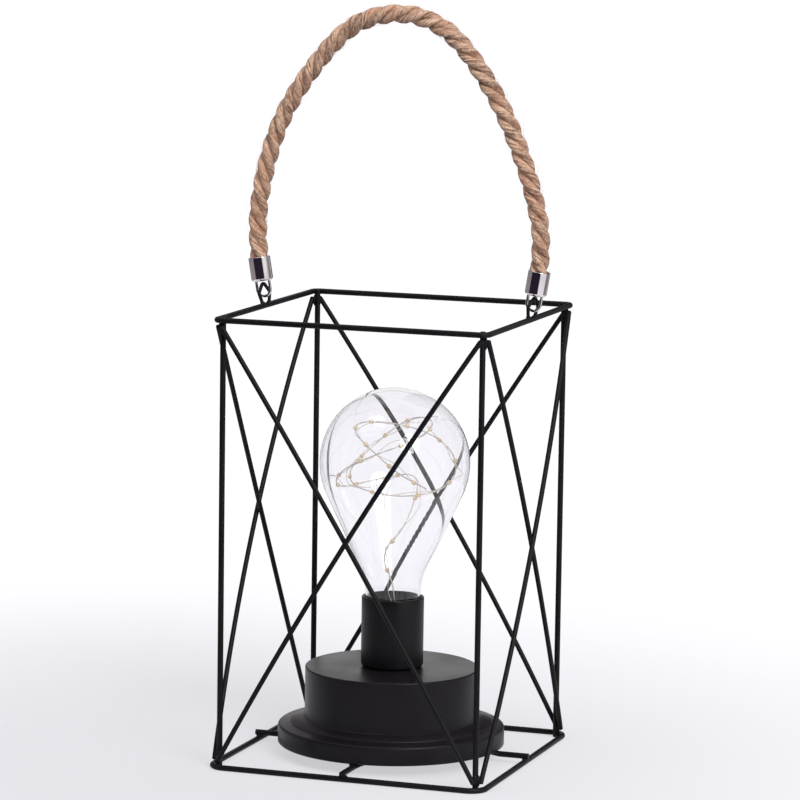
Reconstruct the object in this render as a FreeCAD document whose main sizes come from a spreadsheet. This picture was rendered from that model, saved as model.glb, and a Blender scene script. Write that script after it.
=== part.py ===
import FreeCAD, Part
import math
import os
import re
import Sketcher

# A battery lantern lamp: a wire cage with crossed braces, a round base inside it that carries a socket
# and a clear glass bulb with a string of tiny lights, and a rope handle that swings on two wire eyes.
# The frame stands on z = 0 with the cage centred on the Z axis. The front face looks along -Y and the
# two handle eyes stand on the left and right rails, so the handle swings about the X axis.

SIZES = {
    # cage wires
    "ring_wire": 2.8,            # wire of both rings and the posts
    "brace_wire": 2.4,           # wire of the crossed braces
    "cage_height": 217.0,        # between the centres of the two rings
    "top_span": 136.0,           # top ring, across wire centres
    "ring_step": 2.5,            # how much wider the bottom ring is
    "top_bend": 3.4,             # corner bend of the top ring, at the wire's centre
    "weld_gap": 0.05,            # paint-thick space left where two wires are welded
    "brace_end_rise": 1.5,       # from a ring's wire to the middle of a brace's cut end
    "inner_bow": 1.6,            # how far the inner brace of each cross stands out at its middle
    "outer_bow": 4.4,            # the same for the outer brace, which passes over it
    "bow_rise": 2.6,             # how far both braces bend up within the face
    # spokes under the base
    "spoke_overhang": 1.8,       # past the centre of the bottom ring's wire
    "paddle_radius": 4.0,        # flattened inner end
    "paddle_thickness": 1.2,
    "paddle_taper": 8.0,         # from the screw to the round wire
    # screws through the spokes, the bottom cover and into the shell
    "screw_circle": 46.0,        # radius at which the four screws stand
    "screw_shank": 2.4,
    "screw_length": 8.0,
    "screw_head": 5.0,
    "screw_head_height": 1.6,
    "screw_clearance": 0.2,      # radial, in the parts that a screw passes through
    "screw_bite": 0.05,          # radial, in the part that a screw holds in
    "boss_radius": 3.2,
    # base shell
    "flange_radius": 55.7,
    "rim_height": 7.9,
    "rim_round": 1.4,
    "step_radius": 49.5,         # shallow step on the flange's sloping top
    "step_height": 10.6,         # from the flange's underside
    "step_drop": 0.5,
    "drum_radius": 42.6,
    "drum_foot": 12.6,           # where the drum rises from the flange
    "base_height": 37.8,
    "drum_round": 0.8,
    "shell_wall": 1.8,
    # bottom cover and battery door
    "cover_thickness": 2.0,
    "cover_gap": 0.25,           # around the cover, in the shell's skirt
    "door_gap": 0.3,
    "door_width": 42.8,
    "door_length": 55.8,
    "hinge_pin": 1.2,            # diameter of the door's two stub pins
    "hinge_pin_length": 2.0,
    "hinge_clearance": 0.06,     # radial
    "grip_width": 12.0,          # finger notch at the free edge
    "grip_depth": 2.5,
    # battery tray and cells
    "cell_diameter": 14.2,
    "cell_length": 49.0,
    "nub_diameter": 5.2,
    "nub_height": 1.2,
    "cell_gap": 0.3,             # between cells, and over and under them
    "tray_side_gap": 0.4,        # beside the outer cells
    "contact_room": 6.4,         # between a cell's flat end and the tray's wall
    "contact_sheet": 0.4,
    "contact_width": 8.0,
    "contact_height": 10.0,
    "tray_wall": 1.4,
    "seat_gap": 0.05,            # between flat faces that touch
    # circuit board
    "board_length": 26.0,
    "board_width": 16.0,
    "board_thickness": 1.2,
    "stand_height": 2.4,
    "stand_radius": 2.2,
    "stake_radius": 1.0,
    "stake_clearance": 0.1,
    "chip_length": 5.0,
    "chip_width": 4.0,
    "chip_height": 1.6,
    # slide switch
    "switch_place": 34.0,        # from the axis, towards +X
    "switch_length": 14.0,
    "switch_width": 6.6,
    "switch_height": 5.6,
    "switch_wall": 0.6,
    "knob_width": 3.0,
    "knob_length": 4.0,
    "knob_proud": 1.4,           # below the cover
    "knob_travel": 4.0,
    "knob_gap": 0.25,
    # socket and what clamps it to the base
    "socket_radius": 15.3,
    "socket_height": 35.0,
    "socket_wall": 1.4,
    "socket_floor": 2.0,
    "socket_round": 2.0,
    "nipple_radius": 5.0,
    "nipple_bore": 3.8,          # radius
    "nipple_proud": 1.5,         # past each nut
    "nipple_clearance": 0.05,
    "nut_flats": 14.0,
    "nut_thickness": 3.0,
    # glass bulb
    "globe_radius": 36.8,
    "glass_wall": 1.0,
    "neck_radius": 13.6,
    "neck_seat": 16.55,          # how deep the glass stands in the socket
    "neck_show": 1.39,           # straight neck above the socket, below the hollow curve
    "pear_angle": 25.0,          # half angle of the cone between globe and neck
    "neck_blend": 30.0,          # radius of the hollow curve from cone to neck
    # plug in the neck, and the light string
    "plug_height": 7.0,
    "plug_lip": 2.0,
    "plug_gap": 0.1,
    "lead_wire": 1.0,
    "lead_spread": 4.4,          # between the two leads
    "string_wire": 0.6,
    "string_bend": 4.0,
    "bead_width": 2.0,
    "bead_length": 2.6,
    # handle
    "eye_wire": 1.7,
    "eye_width": 8.4,            # across wire centres
    "eye_height": 10.6,          # from the rail's centre to the centre of the eye's tip
    "eye_widest": 6.2,           # height at which the eye is widest
    "eye_bend": 1.6,
    "eye_twist": -18.0,          # degrees that the eye is turned off the rail's line
    "handle_lean": 9.5,          # degrees that eyes and ferrules lean out
    "hinge_height": 4.4,         # from the rail's centre to the loop's resting wire
    "loop_wire": 1.4,
    "loop_width": 6.8,           # across wire centres
    "ferrule_low": 12.0,         # from the rail's centre to the ferrule's lower face
    "ferrule_length": 12.0,
    "ferrule_wall": 0.8,
    "ferrule_floor": 1.6,
    "ferrule_round": 1.6,
    "rope_diameter": 9.0,
    "rope_clearance": 0.1,
}

# heights and places that several pieces share, written with the names above
BASE_LOW = "(2 * ring_wire + 2 * weld_gap)"                     # underside of flange and cover
COVER_TOP = f"({BASE_LOW} + cover_thickness)"
DRUM_TOP = f"({BASE_LOW} + base_height)"
SPOKE_LEVEL = "(1.5 * ring_wire + weld_gap)"                    # centre of the spokes' wire
RAIL_LEVEL = "(cage_height + ring_wire / 2)"                    # centre of the top ring's wire
BOTTOM_SPAN = "(top_span + ring_step)"
POST_PLACE = "(top_span / 2 - top_bend + (top_bend - ring_wire - weld_gap) / sqrt(2))"
BOTTOM_BEND = f"(({BOTTOM_SPAN} / 2 - (ring_wire + weld_gap) / sqrt(2) - {POST_PLACE}) / (1 - 1 / sqrt(2)))"
BRACE_PLACE = f"({POST_PLACE} + (ring_wire + brace_wire) / 2 + weld_gap)"
CELL_LEVEL = f"({COVER_TOP} + cell_gap + cell_diameter / 2)"
TRAY_HALF_WIDTH = "(1.5 * cell_diameter + cell_gap + tray_side_gap)"
TRAY_HALF_LENGTH = "((cell_length + nub_height + contact_room + contact_sheet) / 2)"
TRAY_ROOF = f"({COVER_TOP} + cell_diameter + 2 * cell_gap)"     # inside of the tray
TRAY_TOP = f"({TRAY_ROOF} + tray_wall)"
BOARD_LOW = f"({TRAY_TOP} + stand_height)"
SWITCH_LOW = f"({COVER_TOP} + seat_gap)"
SOCKET_LOW = f"({DRUM_TOP} + seat_gap)"
SOCKET_FLOOR_TOP = f"({SOCKET_LOW} + socket_floor)"
SOCKET_TOP = f"({SOCKET_LOW} + socket_height)"
LOWER_NUT = f"({DRUM_TOP} - shell_wall - seat_gap - nut_thickness)"
UPPER_NUT = f"({SOCKET_FLOOR_TOP} + seat_gap)"
NECK_BORE = "(neck_radius - glass_wall)"
NECK_LOW = f"({SOCKET_TOP} - neck_seat)"                        # lower edge of the glass
TANGENT_RADIUS = "(globe_radius * cos(pear_angle * 1deg))"      # where the cone leaves the globe
BLEND_REACH = "(neck_blend * tan(pear_angle * 1deg / 2))"       # tangent length of the hollow curve
CONE_FOOT = f"({SOCKET_TOP} + neck_show + {BLEND_REACH})"       # where the cone's line meets the neck's
TANGENT_LEVEL = f"({CONE_FOOT} + ({TANGENT_RADIUS} - neck_radius) / tan(pear_angle * 1deg))"
GLOBE_LEVEL = f"({TANGENT_LEVEL} + globe_radius * sin(pear_angle * 1deg))"

doc = FreeCAD.newDocument("lantern_lamp")
sheet = doc.addObject("Spreadsheet::Sheet", "Sizes")
for row, (alias, value) in enumerate(SIZES.items(), 1):
    sheet.set(f"A{row}", alias)
    sheet.set(f"B{row}", str(value))
    sheet.setAlias(f"B{row}", alias)
doc.recompute()

sub_parts = []
V = FreeCAD.Vector
LEAD_SIDES = 6          # flat sides of the finest wires
BEAD_SIDES = 6
STRING_STEPS = 24       # corners of the light string inside the globe


def linked(expression):
    """The expression with each size's name pointing at its cell."""
    return re.sub(r"[a-z_]+", lambda word: f"Sizes.{word[0]}" if word[0] in SIZES else word[0], expression)


def size(expression):
    """What an expression of sizes comes to."""
    return float(getattr(sheet.evalExpression(expression), "Value", sheet.evalExpression(expression)))


# --- sketches and features -------------------------------------------------------------------------

def new_body(label):
    body = doc.addObject("PartDesign::Body", label)
    body.Label = label
    sub_parts.append(body)
    return body


def new_sketch(body, plane, offset="0"):
    """A sketch on one of the body's own origin planes, moved along the plane's normal."""
    sketch = body.newObject("Sketcher::SketchObject", body.Label + "_sketch")
    face = next(item for item in body.Origin.OriginFeatures if item.Role == plane)
    sketch.AttachmentSupport = [(face, "")]
    sketch.MapMode = "FlatFace"
    if offset != "0":
        sketch.setExpression("AttachmentOffset.Base.z", linked(offset))
    return sketch


def bind(sketch, constraint, expression):
    index = sketch.addConstraint(constraint)
    sketch.setExpression(f"Constraints[{index}]", linked(expression))


def pin_point(sketch, shape, point, x, y):
    """Ties a point of the sketch to two expressions, or to an axis where one is zero."""
    for axis, kind, expression in ((-2, "DistanceX", x), (-1, "DistanceY", y)):
        if expression == "0":
            sketch.addConstraint(Sketcher.Constraint("PointOnObject", shape, point, axis))
        else:
            bind(sketch, Sketcher.Constraint(kind, -1, 1, shape, point, size(expression)), expression)


def circle(sketch, x, y, radius):
    shape = sketch.addGeometry(Part.Circle(V(size(x), size(y), 0), V(0, 0, 1), size(radius)))
    pin_point(sketch, shape, 3, x, y)
    bind(sketch, Sketcher.Constraint("Radius", shape, size(radius)), radius)


def outline(sketch, corners, arcs=None):
    """A closed outline through corners given as pairs of expressions. arcs maps the number of a side to
    (radius, turn), where turn is 1 for an arc that runs anticlockwise and -1 for clockwise. A half circle
    is held by the place of its centre, and its ends stand above each other."""
    arcs = arcs or {}
    points = [V(size(x), size(y), 0) for x, y in corners]
    ends = []
    for side, start in enumerate(points):
        stop = points[(side + 1) % len(points)]
        if side not in arcs:
            shape = sketch.addGeometry(Part.LineSegment(start, stop))
            ends.append((shape, 1, 2))
            continue
        radius, turn = size(arcs[side][0]), arcs[side][1]
        chord = stop - start
        across = V(-chord.y, chord.x, 0).normalize() * turn
        centre = (start + stop) * 0.5 + across * math.sqrt(max(radius ** 2 - chord.Length ** 2 / 4, 0))
        first, last = (start, stop) if turn > 0 else (stop, start)
        angles = [math.atan2(end.y - centre.y, end.x - centre.x) for end in (first, last)]
        if angles[1] < angles[0]:
            angles[1] += 2 * math.pi
        shape = sketch.addGeometry(Part.ArcOfCircle(Part.Circle(centre, V(0, 0, 1), radius), *angles))
        ends.append((shape, 1, 2) if turn > 0 else (shape, 2, 1))
    for side, (shape, start, stop) in enumerate(ends):
        following = ends[(side + 1) % len(ends)]
        sketch.addConstraint(Sketcher.Constraint("Coincident", shape, stop, following[0], following[1]))
        pin_point(sketch, shape, start, *corners[side])
    for side, (radius, turn) in arcs.items():
        shape, chord = ends[side][0], points[(side + 1) % len(points)] - points[side]
        if chord.Length > 1.999 * size(radius):
            middle = corners[side][0]
            bind(sketch, Sketcher.Constraint("DistanceX", -1, 1, shape, 3, size(middle)), middle)
        else:
            bind(sketch, Sketcher.Constraint("Radius", shape, size(radius)), radius)
    return len(ends)


def rectangle(sketch, x, y, width, length):
    """A rectangle about the centre (x, y)."""
    outline(sketch, [(f"{x} - ({width}) / 2", f"{y} - ({length}) / 2"),
                     (f"{x} + ({width}) / 2", f"{y} - ({length}) / 2"),
                     (f"{x} + ({width}) / 2", f"{y} + ({length}) / 2"),
                     (f"{x} - ({width}) / 2", f"{y} + ({length}) / 2")])


def feature(body, kind, sketch, length=None, **settings):
    """A pad, pocket or other feature of a sketch, as long as the expression says."""
    item = body.newObject(f"PartDesign::{kind}", f"{body.Label}_{kind.lower()}")
    item.Profile = sketch
    if length is not None:
        item.setExpression("Length", linked(length))
    for name, setting in settings.items():
        setattr(item, name, setting)
    doc.recompute()
    return item


def turned(label, corners, arcs=None):
    """A body of revolution about the Z axis, from its half section in X and Z."""
    body = new_body(label)
    sketch = new_sketch(body, "XZ_Plane")
    outline(sketch, corners, arcs)
    feature(body, "Revolution", sketch, ReferenceAxis=(sketch, ["V_Axis"]), Angle=360)
    return body


def repeated(body, item, count="4"):
    """Copies of one feature around the Z axis."""
    pattern = body.newObject("PartDesign::PolarPattern", body.Label + "_pattern")
    axis = next(thing for thing in body.Origin.OriginFeatures if thing.Role == "Z_Axis")
    pattern.Originals = [item]
    pattern.Axis = (axis, [""])
    pattern.Angle = 360
    pattern.setExpression("Occurrences", count)
    body.Tip = pattern
    doc.recompute()


def cut(body, sketch, length, **settings):
    """A pocket that has to take material away."""
    before = body.Shape.Volume
    item = feature(body, "Pocket", sketch, length, **settings)
    if body.Shape.Volume > before - 1e-3:
        raise ValueError(f"{item.Label} cuts nothing")
    return item


def placed(item, x="0", y="0", z="0", turn=0.0, axis=V(0, 0, 1)):
    """Turns a piece about an axis through its origin and moves it to bound coordinates."""
    item.Placement = FreeCAD.Placement(V(size(x), size(y), size(z)), FreeCAD.Rotation(axis, turn))
    for name, expression in (("x", x), ("y", y), ("z", z)):
        if expression != "0":
            item.setExpression(f"Placement.Base.{name}", linked(expression))


# --- bent wires and tubes --------------------------------------------------------------------------

def bend_path(points, radii, closed=False):
    """Straight runs through the points, joined by tangent arcs of the given radii."""
    count = len(points)
    inner = range(count) if closed else range(1, count - 1)
    edges, reached = [], None
    first = None
    for index in inner:
        before, corner, after = points[index - 1], points[index], points[(index + 1) % count]
        arrive, leave = (corner - before).normalize(), (after - corner).normalize()
        half_turn = arrive.getAngle(leave) / 2
        reach = radii[index] * math.tan(half_turn)
        start, stop = corner - arrive * reach, corner + leave * reach
        inward = (leave - arrive).normalize()
        middle = corner + inward * (radii[index] / math.cos(half_turn) - radii[index])
        if reached is None:
            first = start
            reached = start if closed else points[0]
        if (start - reached).Length > 1e-6:
            edges.append(Part.LineSegment(reached, start).toShape())
        edges.append(Part.Arc(start, middle, stop).toShape())
        reached = stop
    finish = first if closed else points[-1]
    if (finish - reached).Length > 1e-6:
        edges.append(Part.LineSegment(reached, finish).toShape())
    return Part.Wire(edges)


def many_sided(centre, normal, radius, sides):
    """A closed polygon of equal sides about a point, square to a direction."""
    across = normal.cross(V(0.37, 0.21, 1)).normalize()
    other = normal.cross(across).normalize()
    angles = [2 * math.pi * corner / sides for corner in range(sides)]
    ring = [centre + across * (radius * math.cos(angle)) + other * (radius * math.sin(angle)) for angle in angles]
    return Part.makePolygon(ring + ring[:1])


def tube(path, radius, sides=0):
    """A solid of round section along a path, or one of flat sides where the wire is very fine. Its volume
    has to be its section times its length."""
    first = path.OrderedEdges[0]
    start, direction = first.valueAt(first.FirstParameter), first.tangentAt(first.FirstParameter)
    area = math.pi * radius ** 2
    section = Part.Wire(Part.makeCircle(radius, start, direction))
    if sides:
        area = sides / 2 * radius ** 2 * math.sin(2 * math.pi / sides)
        section = many_sided(start, direction, radius, sides)
    solid = path.makePipeShell([section], True, False)
    if solid.Volume < 0:
        solid.reverse()
    if abs(solid.Volume / (area * path.Length) - 1) > 0.01:
        raise ValueError("a tube's volume is not its section times its length")
    return solid


def least_gap(path, radius):
    """How near a wire comes to itself, from points along its path, past one bend's length."""
    step = 4 * radius
    points = path.discretize(Distance=step)
    apart = int(size("4 * string_bend") / step)
    return min((one - other).Length for place, one in enumerate(points)
               for other in points[place + apart:]) - 2 * radius


def shaped(label, shape):
    """A piece whose shape is worked out here from the sheet's sizes."""
    item = doc.addObject("Part::Feature", label)
    item.Label = label
    item.Shape = shape
    sub_parts.append(item)
    return item


# --- cage ------------------------------------------------------------------------------------------

def make_ring(label, span, bend, level):
    """A square of round wire with bent corners, closed in the middle of its front rail."""
    body = new_body(label)
    half, short = f"{span} / 2", f"({span} / 2 - {bend})"
    path = new_sketch(body, "XY_Plane")
    corners = [("0", f"-{half}"), (short, f"-{half}"), (half, f"-{short}"), (half, short), (short, half),
               (f"-{short}", half), (f"-{half}", short), (f"-{half}", f"-{short}"), (f"-{short}", f"-{half}")]
    sides = outline(path, corners, {side: (bend, 1) for side in (1, 3, 5, 7)})
    section = new_sketch(body, "YZ_Plane")
    circle(section, f"-{half}", "0", "ring_wire / 2")
    doc.recompute()
    pipe = feature(body, "AdditivePipe", section)
    pipe.Spine = (path, [f"Edge{side + 1}" for side in range(sides)])
    placed(body, z=level)


def make_posts():
    """Four straight posts that stand inside the corner bends of both rings."""
    for name, x, y in (("front_left", "-", "-"), ("front_right", "", "-"),
                       ("back_right", "", ""), ("back_left", "-", "")):
        body = new_body(f"post_{name}")
        sketch = new_sketch(body, "XY_Plane")
        circle(sketch, "0", "0", "ring_wire / 2")
        feature(body, "Pad", sketch, "cage_height + ring_wire")
        placed(body, x + POST_PLACE, y + POST_PLACE)


def make_braces():
    """Two bowed wires on each side face, each an arc from one post to the next. They lie on the outside
    of the posts, and the outer one of each pair passes over the inner one."""
    low = "(ring_wire + brace_end_rise)"
    climb = f"(cage_height - 2 * brace_end_rise - ring_wire)"
    chord = f"sqrt(4 * {POST_PLACE} ^ 2 + {climb} ^ 2)"
    faces = (("front", 0, 1), ("right", 90, 1), ("back", 180, 1), ("left", 270, -1))
    for face, turn, lean in faces:
        for layer, side in (("inner", -lean), ("outer", lean)):
            sag = f"sqrt({layer}_bow ^ 2 + bow_rise ^ 2)"
            radius = f"(({chord} ^ 2 / 4 + {sag} ^ 2) / (2 * {sag}))"
            body = new_body(f"brace_{face}_{layer}")
            sketch = new_sketch(body, "YZ_Plane")
            circle(sketch, "0", radius, "brace_wire / 2")
            arc = feature(body, "Revolution", sketch, ReferenceAxis=(sketch, ["H_Axis"]), Midplane=True)
            arc.setExpression("Angle", linked(f"2 * asin({chord} / (2 * {radius}))"))
            along = V(2 * side * size(POST_PLACE), 0, size(climb)).normalize()
            rise = V(-side * along.z, 0, side * along.x)
            outward = (V(0, -size(f"{layer}_bow"), 0) + rise * size("bow_rise")).normalize()
            across = outward.cross(along)
            middle = V(0, -size(BRACE_PLACE), size(f"{low} + {climb} / 2"))
            centre = middle + outward * (size(sag) - size(radius))
            matrix = FreeCAD.Matrix(along.x, across.x, outward.x, centre.x,
                                    along.y, across.y, outward.y, centre.y,
                                    along.z, across.z, outward.z, centre.z, 0, 0, 0, 1)
            body.Placement = FreeCAD.Placement(V(), FreeCAD.Rotation(V(0, 0, 1), turn)).multiply(
                FreeCAD.Placement(matrix))


def make_spokes():
    """Four wires that lie on the bottom ring and carry the base, each with a flattened, drilled end."""
    for name, turn in (("right", 0), ("back", 90), ("left", 180), ("front", 270)):
        body = new_body(f"spoke_{name}")
        wire = new_sketch(body, "YZ_Plane", "screw_circle + paddle_taper")
        circle(wire, "0", "0", "ring_wire / 2")
        feature(body, "Pad", wire, f"{BOTTOM_SPAN} / 2 + spoke_overhang - screw_circle - paddle_taper")
        paddle = new_sketch(body, "XY_Plane", "ring_wire / 2 - paddle_thickness")
        outline(paddle, [("screw_circle", "-paddle_radius"),
                         ("screw_circle + paddle_taper + ring_wire", "-ring_wire / 2"),
                         ("screw_circle + paddle_taper + ring_wire", "ring_wire / 2"),
                         ("screw_circle", "paddle_radius")], {3: ("paddle_radius", 1)})
        circle(paddle, "screw_circle", "0", "screw_shank / 2 + screw_clearance")
        feature(body, "Pad", paddle, "paddle_thickness")
        placed(body, z=SPOKE_LEVEL, turn=turn)


# --- base ------------------------------------------------------------------------------------------

def make_base_shell():
    """The drum and its stepped flange, hollow and open below, with four screw bosses in the flange."""
    top, low = DRUM_TOP, BASE_LOW
    skirt, bore = "flange_radius - shell_wall", "drum_radius - shell_wall"
    body = turned("base_shell", [
        (skirt, low), ("flange_radius", low), ("flange_radius", f"{low} + rim_height"),
        ("flange_radius - rim_round", f"{low} + rim_height + rim_round"),
        ("step_radius", f"{low} + step_height - step_drop"), ("step_radius", f"{low} + step_height"),
        ("drum_radius", f"{low} + drum_foot"), ("drum_radius", f"{top} - drum_round"),
        ("drum_radius - drum_round", top), ("nipple_radius + nipple_clearance", top),
        ("nipple_radius + nipple_clearance", f"{top} - shell_wall"), (bore, f"{top} - shell_wall"),
        (bore, f"{low} + drum_foot - shell_wall"), (skirt, f"{low} + rim_height - rim_round / 2")],
        {2: ("rim_round", 1), 7: ("drum_round", 1)})
    boss = new_sketch(body, "XY_Plane", f"{COVER_TOP} + seat_gap")
    circle(boss, "screw_circle", "0", "boss_radius")
    repeated(body, feature(body, "Pad", boss, "step_height - step_drop / 2 - cover_thickness - seat_gap"))
    pilot = new_sketch(body, "XY_Plane", f"{COVER_TOP} + seat_gap")
    circle(pilot, "screw_circle", "0", "screw_shank / 2 + screw_bite")
    repeated(body, cut(body, pilot, "screw_length - cover_thickness - paddle_thickness", Reversed=True))


def make_bottom_cover():
    """The round cover of the base, with the battery window, four screw holes and the switch slot."""
    body = turned("bottom_cover", [
        ("0", BASE_LOW), ("flange_radius - shell_wall - cover_gap", BASE_LOW),
        ("flange_radius - shell_wall - cover_gap", COVER_TOP), ("0", COVER_TOP)])
    window = new_sketch(body, "XY_Plane", BASE_LOW)
    rectangle(window, "0", "0", "door_width + 2 * door_gap", "door_length + 2 * door_gap")
    cut(body, window, "cover_thickness", Reversed=True)
    slot = new_sketch(body, "XY_Plane", BASE_LOW)
    rectangle(slot, "switch_place", "0", "knob_width + 2 * knob_gap", "knob_length + knob_travel + 2 * knob_gap")
    cut(body, slot, "cover_thickness", Reversed=True)
    pins = new_sketch(body, "XZ_Plane")
    circle(pins, "-door_width / 2 + cover_thickness / 2", f"{BASE_LOW} + cover_thickness / 2",
           "hinge_pin / 2 + hinge_clearance")
    cut(body, pins, "door_length + 2 * hinge_pin_length + 2 * hinge_clearance", Midplane=True)
    screw = new_sketch(body, "XY_Plane", BASE_LOW)
    circle(screw, "screw_circle", "0", "screw_shank / 2 + screw_clearance")
    repeated(body, cut(body, screw, "cover_thickness", Reversed=True))


def make_spoke_screws():
    """Four screws, driven from below, that clamp the spokes and the cover to the shell."""
    under_head = f"({SPOKE_LEVEL} + ring_wire / 2 - paddle_thickness - seat_gap)"
    for name, x, y in (("right", "screw_circle", "0"), ("back", "0", "screw_circle"),
                       ("left", "-screw_circle", "0"), ("front", "0", "-screw_circle")):
        body = turned(f"spoke_screw_{name}", [
            ("0", "-screw_head_height"), ("(screw_head - screw_head_height) / 2", "-screw_head_height"),
            ("screw_head / 2", "-screw_head_height / 2"), ("screw_head / 2", "0"), ("screw_shank / 2", "0"),
            ("screw_shank / 2", "screw_length"), ("0", "screw_length")])
        placed(body, x, y, under_head)


def make_battery_door():
    """A flat door in the cover's window. Its hinged edge is round about two stub pins, and a finger
    notch is cut into the free edge."""
    body = new_body("battery_door")
    hinge = "-door_width / 2 + cover_thickness / 2"
    level = f"{BASE_LOW} + cover_thickness / 2"
    section = new_sketch(body, "XZ_Plane")
    outline(section, [(hinge, BASE_LOW), ("door_width / 2", BASE_LOW), ("door_width / 2", COVER_TOP),
                      (hinge, COVER_TOP)], {3: ("cover_thickness / 2", 1)})
    feature(body, "Pad", section, "door_length", Midplane=True)
    pins = new_sketch(body, "XZ_Plane")
    circle(pins, hinge, level, "hinge_pin / 2")
    feature(body, "Pad", pins, "door_length + 2 * hinge_pin_length", Midplane=True)
    notch = new_sketch(body, "XY_Plane", BASE_LOW)
    rectangle(notch, "door_width / 2", "0", "2 * grip_depth", "grip_width")
    cut(body, notch, "cover_thickness", Reversed=True)


def make_battery_tray():
    """An open-bottomed box over the cells, with two stands on its roof that carry the circuit board."""
    body = new_body("battery_tray")
    outer = new_sketch(body, "XY_Plane", f"{COVER_TOP} + seat_gap")
    rectangle(outer, "0", "0", f"2 * {TRAY_HALF_WIDTH} + 2 * tray_wall", f"2 * {TRAY_HALF_LENGTH} + 2 * tray_wall")
    feature(body, "Pad", outer, f"{TRAY_TOP} - {COVER_TOP} - seat_gap")
    inner = new_sketch(body, "XY_Plane", f"{COVER_TOP} + seat_gap")
    rectangle(inner, "0", "0", f"2 * {TRAY_HALF_WIDTH}", f"2 * {TRAY_HALF_LENGTH}")
    cut(body, inner, f"{TRAY_ROOF} - {COVER_TOP} - seat_gap", Reversed=True)
    for radius, height in (("stand_radius", "stand_height"),
                           ("stake_radius", "stand_height + 2 * board_thickness")):
        stands = new_sketch(body, "XY_Plane", TRAY_TOP)
        circle(stands, "board_length / 2 - 2 * stand_radius", "0", radius)
        circle(stands, "-board_length / 2 + 2 * stand_radius", "0", radius)
        feature(body, "Pad", stands, height)


def make_cells():
    """Three cells side by side, the middle one turned the other way. Each has a contact plate at its nub
    and a folded leaf of sheet that presses on its flat end."""
    end, thick = size(TRAY_HALF_LENGTH), size("contact_sheet")
    width, height, gap = size("contact_width"), size("contact_height"), size("weld_gap")
    nub_end = end - thick - gap
    for name, number, turn in (("left", -1, 0), ("middle", 0, 180), ("right", 1, 0)):
        shoulder = V(0, nub_end - size("nub_height"), 0)
        can = Part.makeCylinder(size("cell_diameter / 2"), size("cell_length"), shoulder, V(0, -1, 0))
        nub = Part.makeCylinder(size("nub_diameter / 2"), size("nub_height"), shoulder, V(0, 1, 0))
        plate = Part.makeBox(width, thick, height, V(-width / 2, end - thick, -height / 2))
        tip = nub_end - size("nub_height + cell_length") - gap
        fold = [(-end, -height / 2), (-end, height / 2), (thick - end, height / 2), (tip, thick),
                (tip, -thick), (tip - 4 * thick, -height / 4), (tip - 5 * thick, thick - height / 4),
                (tip - thick, 0), (thick - end, height / 2 - 2 * thick), (thick - end, -height / 2)]
        profile = Part.makePolygon([V(-width / 2, y, z) for y, z in fold + fold[:1]])
        leaf = Part.Face(profile).extrude(V(width, 0, 0))
        for label, shape in (("battery_cell", can.fuse(nub)), ("contact_plate", plate), ("contact_leaf", leaf)):
            shape.rotate(V(), V(0, 0, 1), turn)
            shape.translate(V(number * size("cell_diameter + cell_gap"), 0, size(CELL_LEVEL)))
            shaped(f"{label}_{name}", shape)


def make_circuit_board():
    body = new_body("circuit_board")
    sketch = new_sketch(body, "XY_Plane", f"{BOARD_LOW} + seat_gap")
    rectangle(sketch, "0", "0", "board_length", "board_width")
    for side in ("", "-"):
        circle(sketch, f"{side}(board_length / 2 - 2 * stand_radius)", "0", "stake_radius + stake_clearance")
    feature(body, "Pad", sketch, "board_thickness")
    chip = new_body("driver_chip")
    sketch = new_sketch(chip, "XY_Plane", f"{BOARD_LOW} + board_thickness + 2 * seat_gap")
    rectangle(sketch, "0", "board_width / 4", "chip_length", "chip_width")
    feature(chip, "Pad", sketch, "chip_height")


def make_switch():
    """A slide switch on the cover: an open-bottomed can, and the slider that reaches through the slot."""
    can = new_body("switch_housing")
    outer = new_sketch(can, "XY_Plane", SWITCH_LOW)
    rectangle(outer, "switch_place", "0", "switch_width", "switch_length")
    feature(can, "Pad", outer, "switch_height")
    inner = new_sketch(can, "XY_Plane", SWITCH_LOW)
    rectangle(inner, "switch_place", "0", "switch_width - 2 * switch_wall", "switch_length - 2 * switch_wall")
    cut(can, inner, "switch_height - switch_wall", Reversed=True)
    knob = new_body("switch_slider")
    rest = "-knob_travel / 2"
    shoe = new_sketch(knob, "XY_Plane", f"{SWITCH_LOW} + knob_gap")
    rectangle(shoe, "switch_place", rest, "switch_width - 2 * switch_wall - 2 * knob_gap",
              "switch_length - 2 * switch_wall - knob_travel - 2 * knob_gap")
    feature(knob, "Pad", shoe, "switch_height - switch_wall - 2 * knob_gap")
    stem = new_sketch(knob, "XY_Plane", f"{BASE_LOW} - knob_proud")
    rectangle(stem, "switch_place", rest, "knob_width", "knob_length")
    feature(knob, "Pad", stem, "knob_proud + cover_thickness + seat_gap + 2 * knob_gap")


# --- socket and bulb -------------------------------------------------------------------------------

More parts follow.
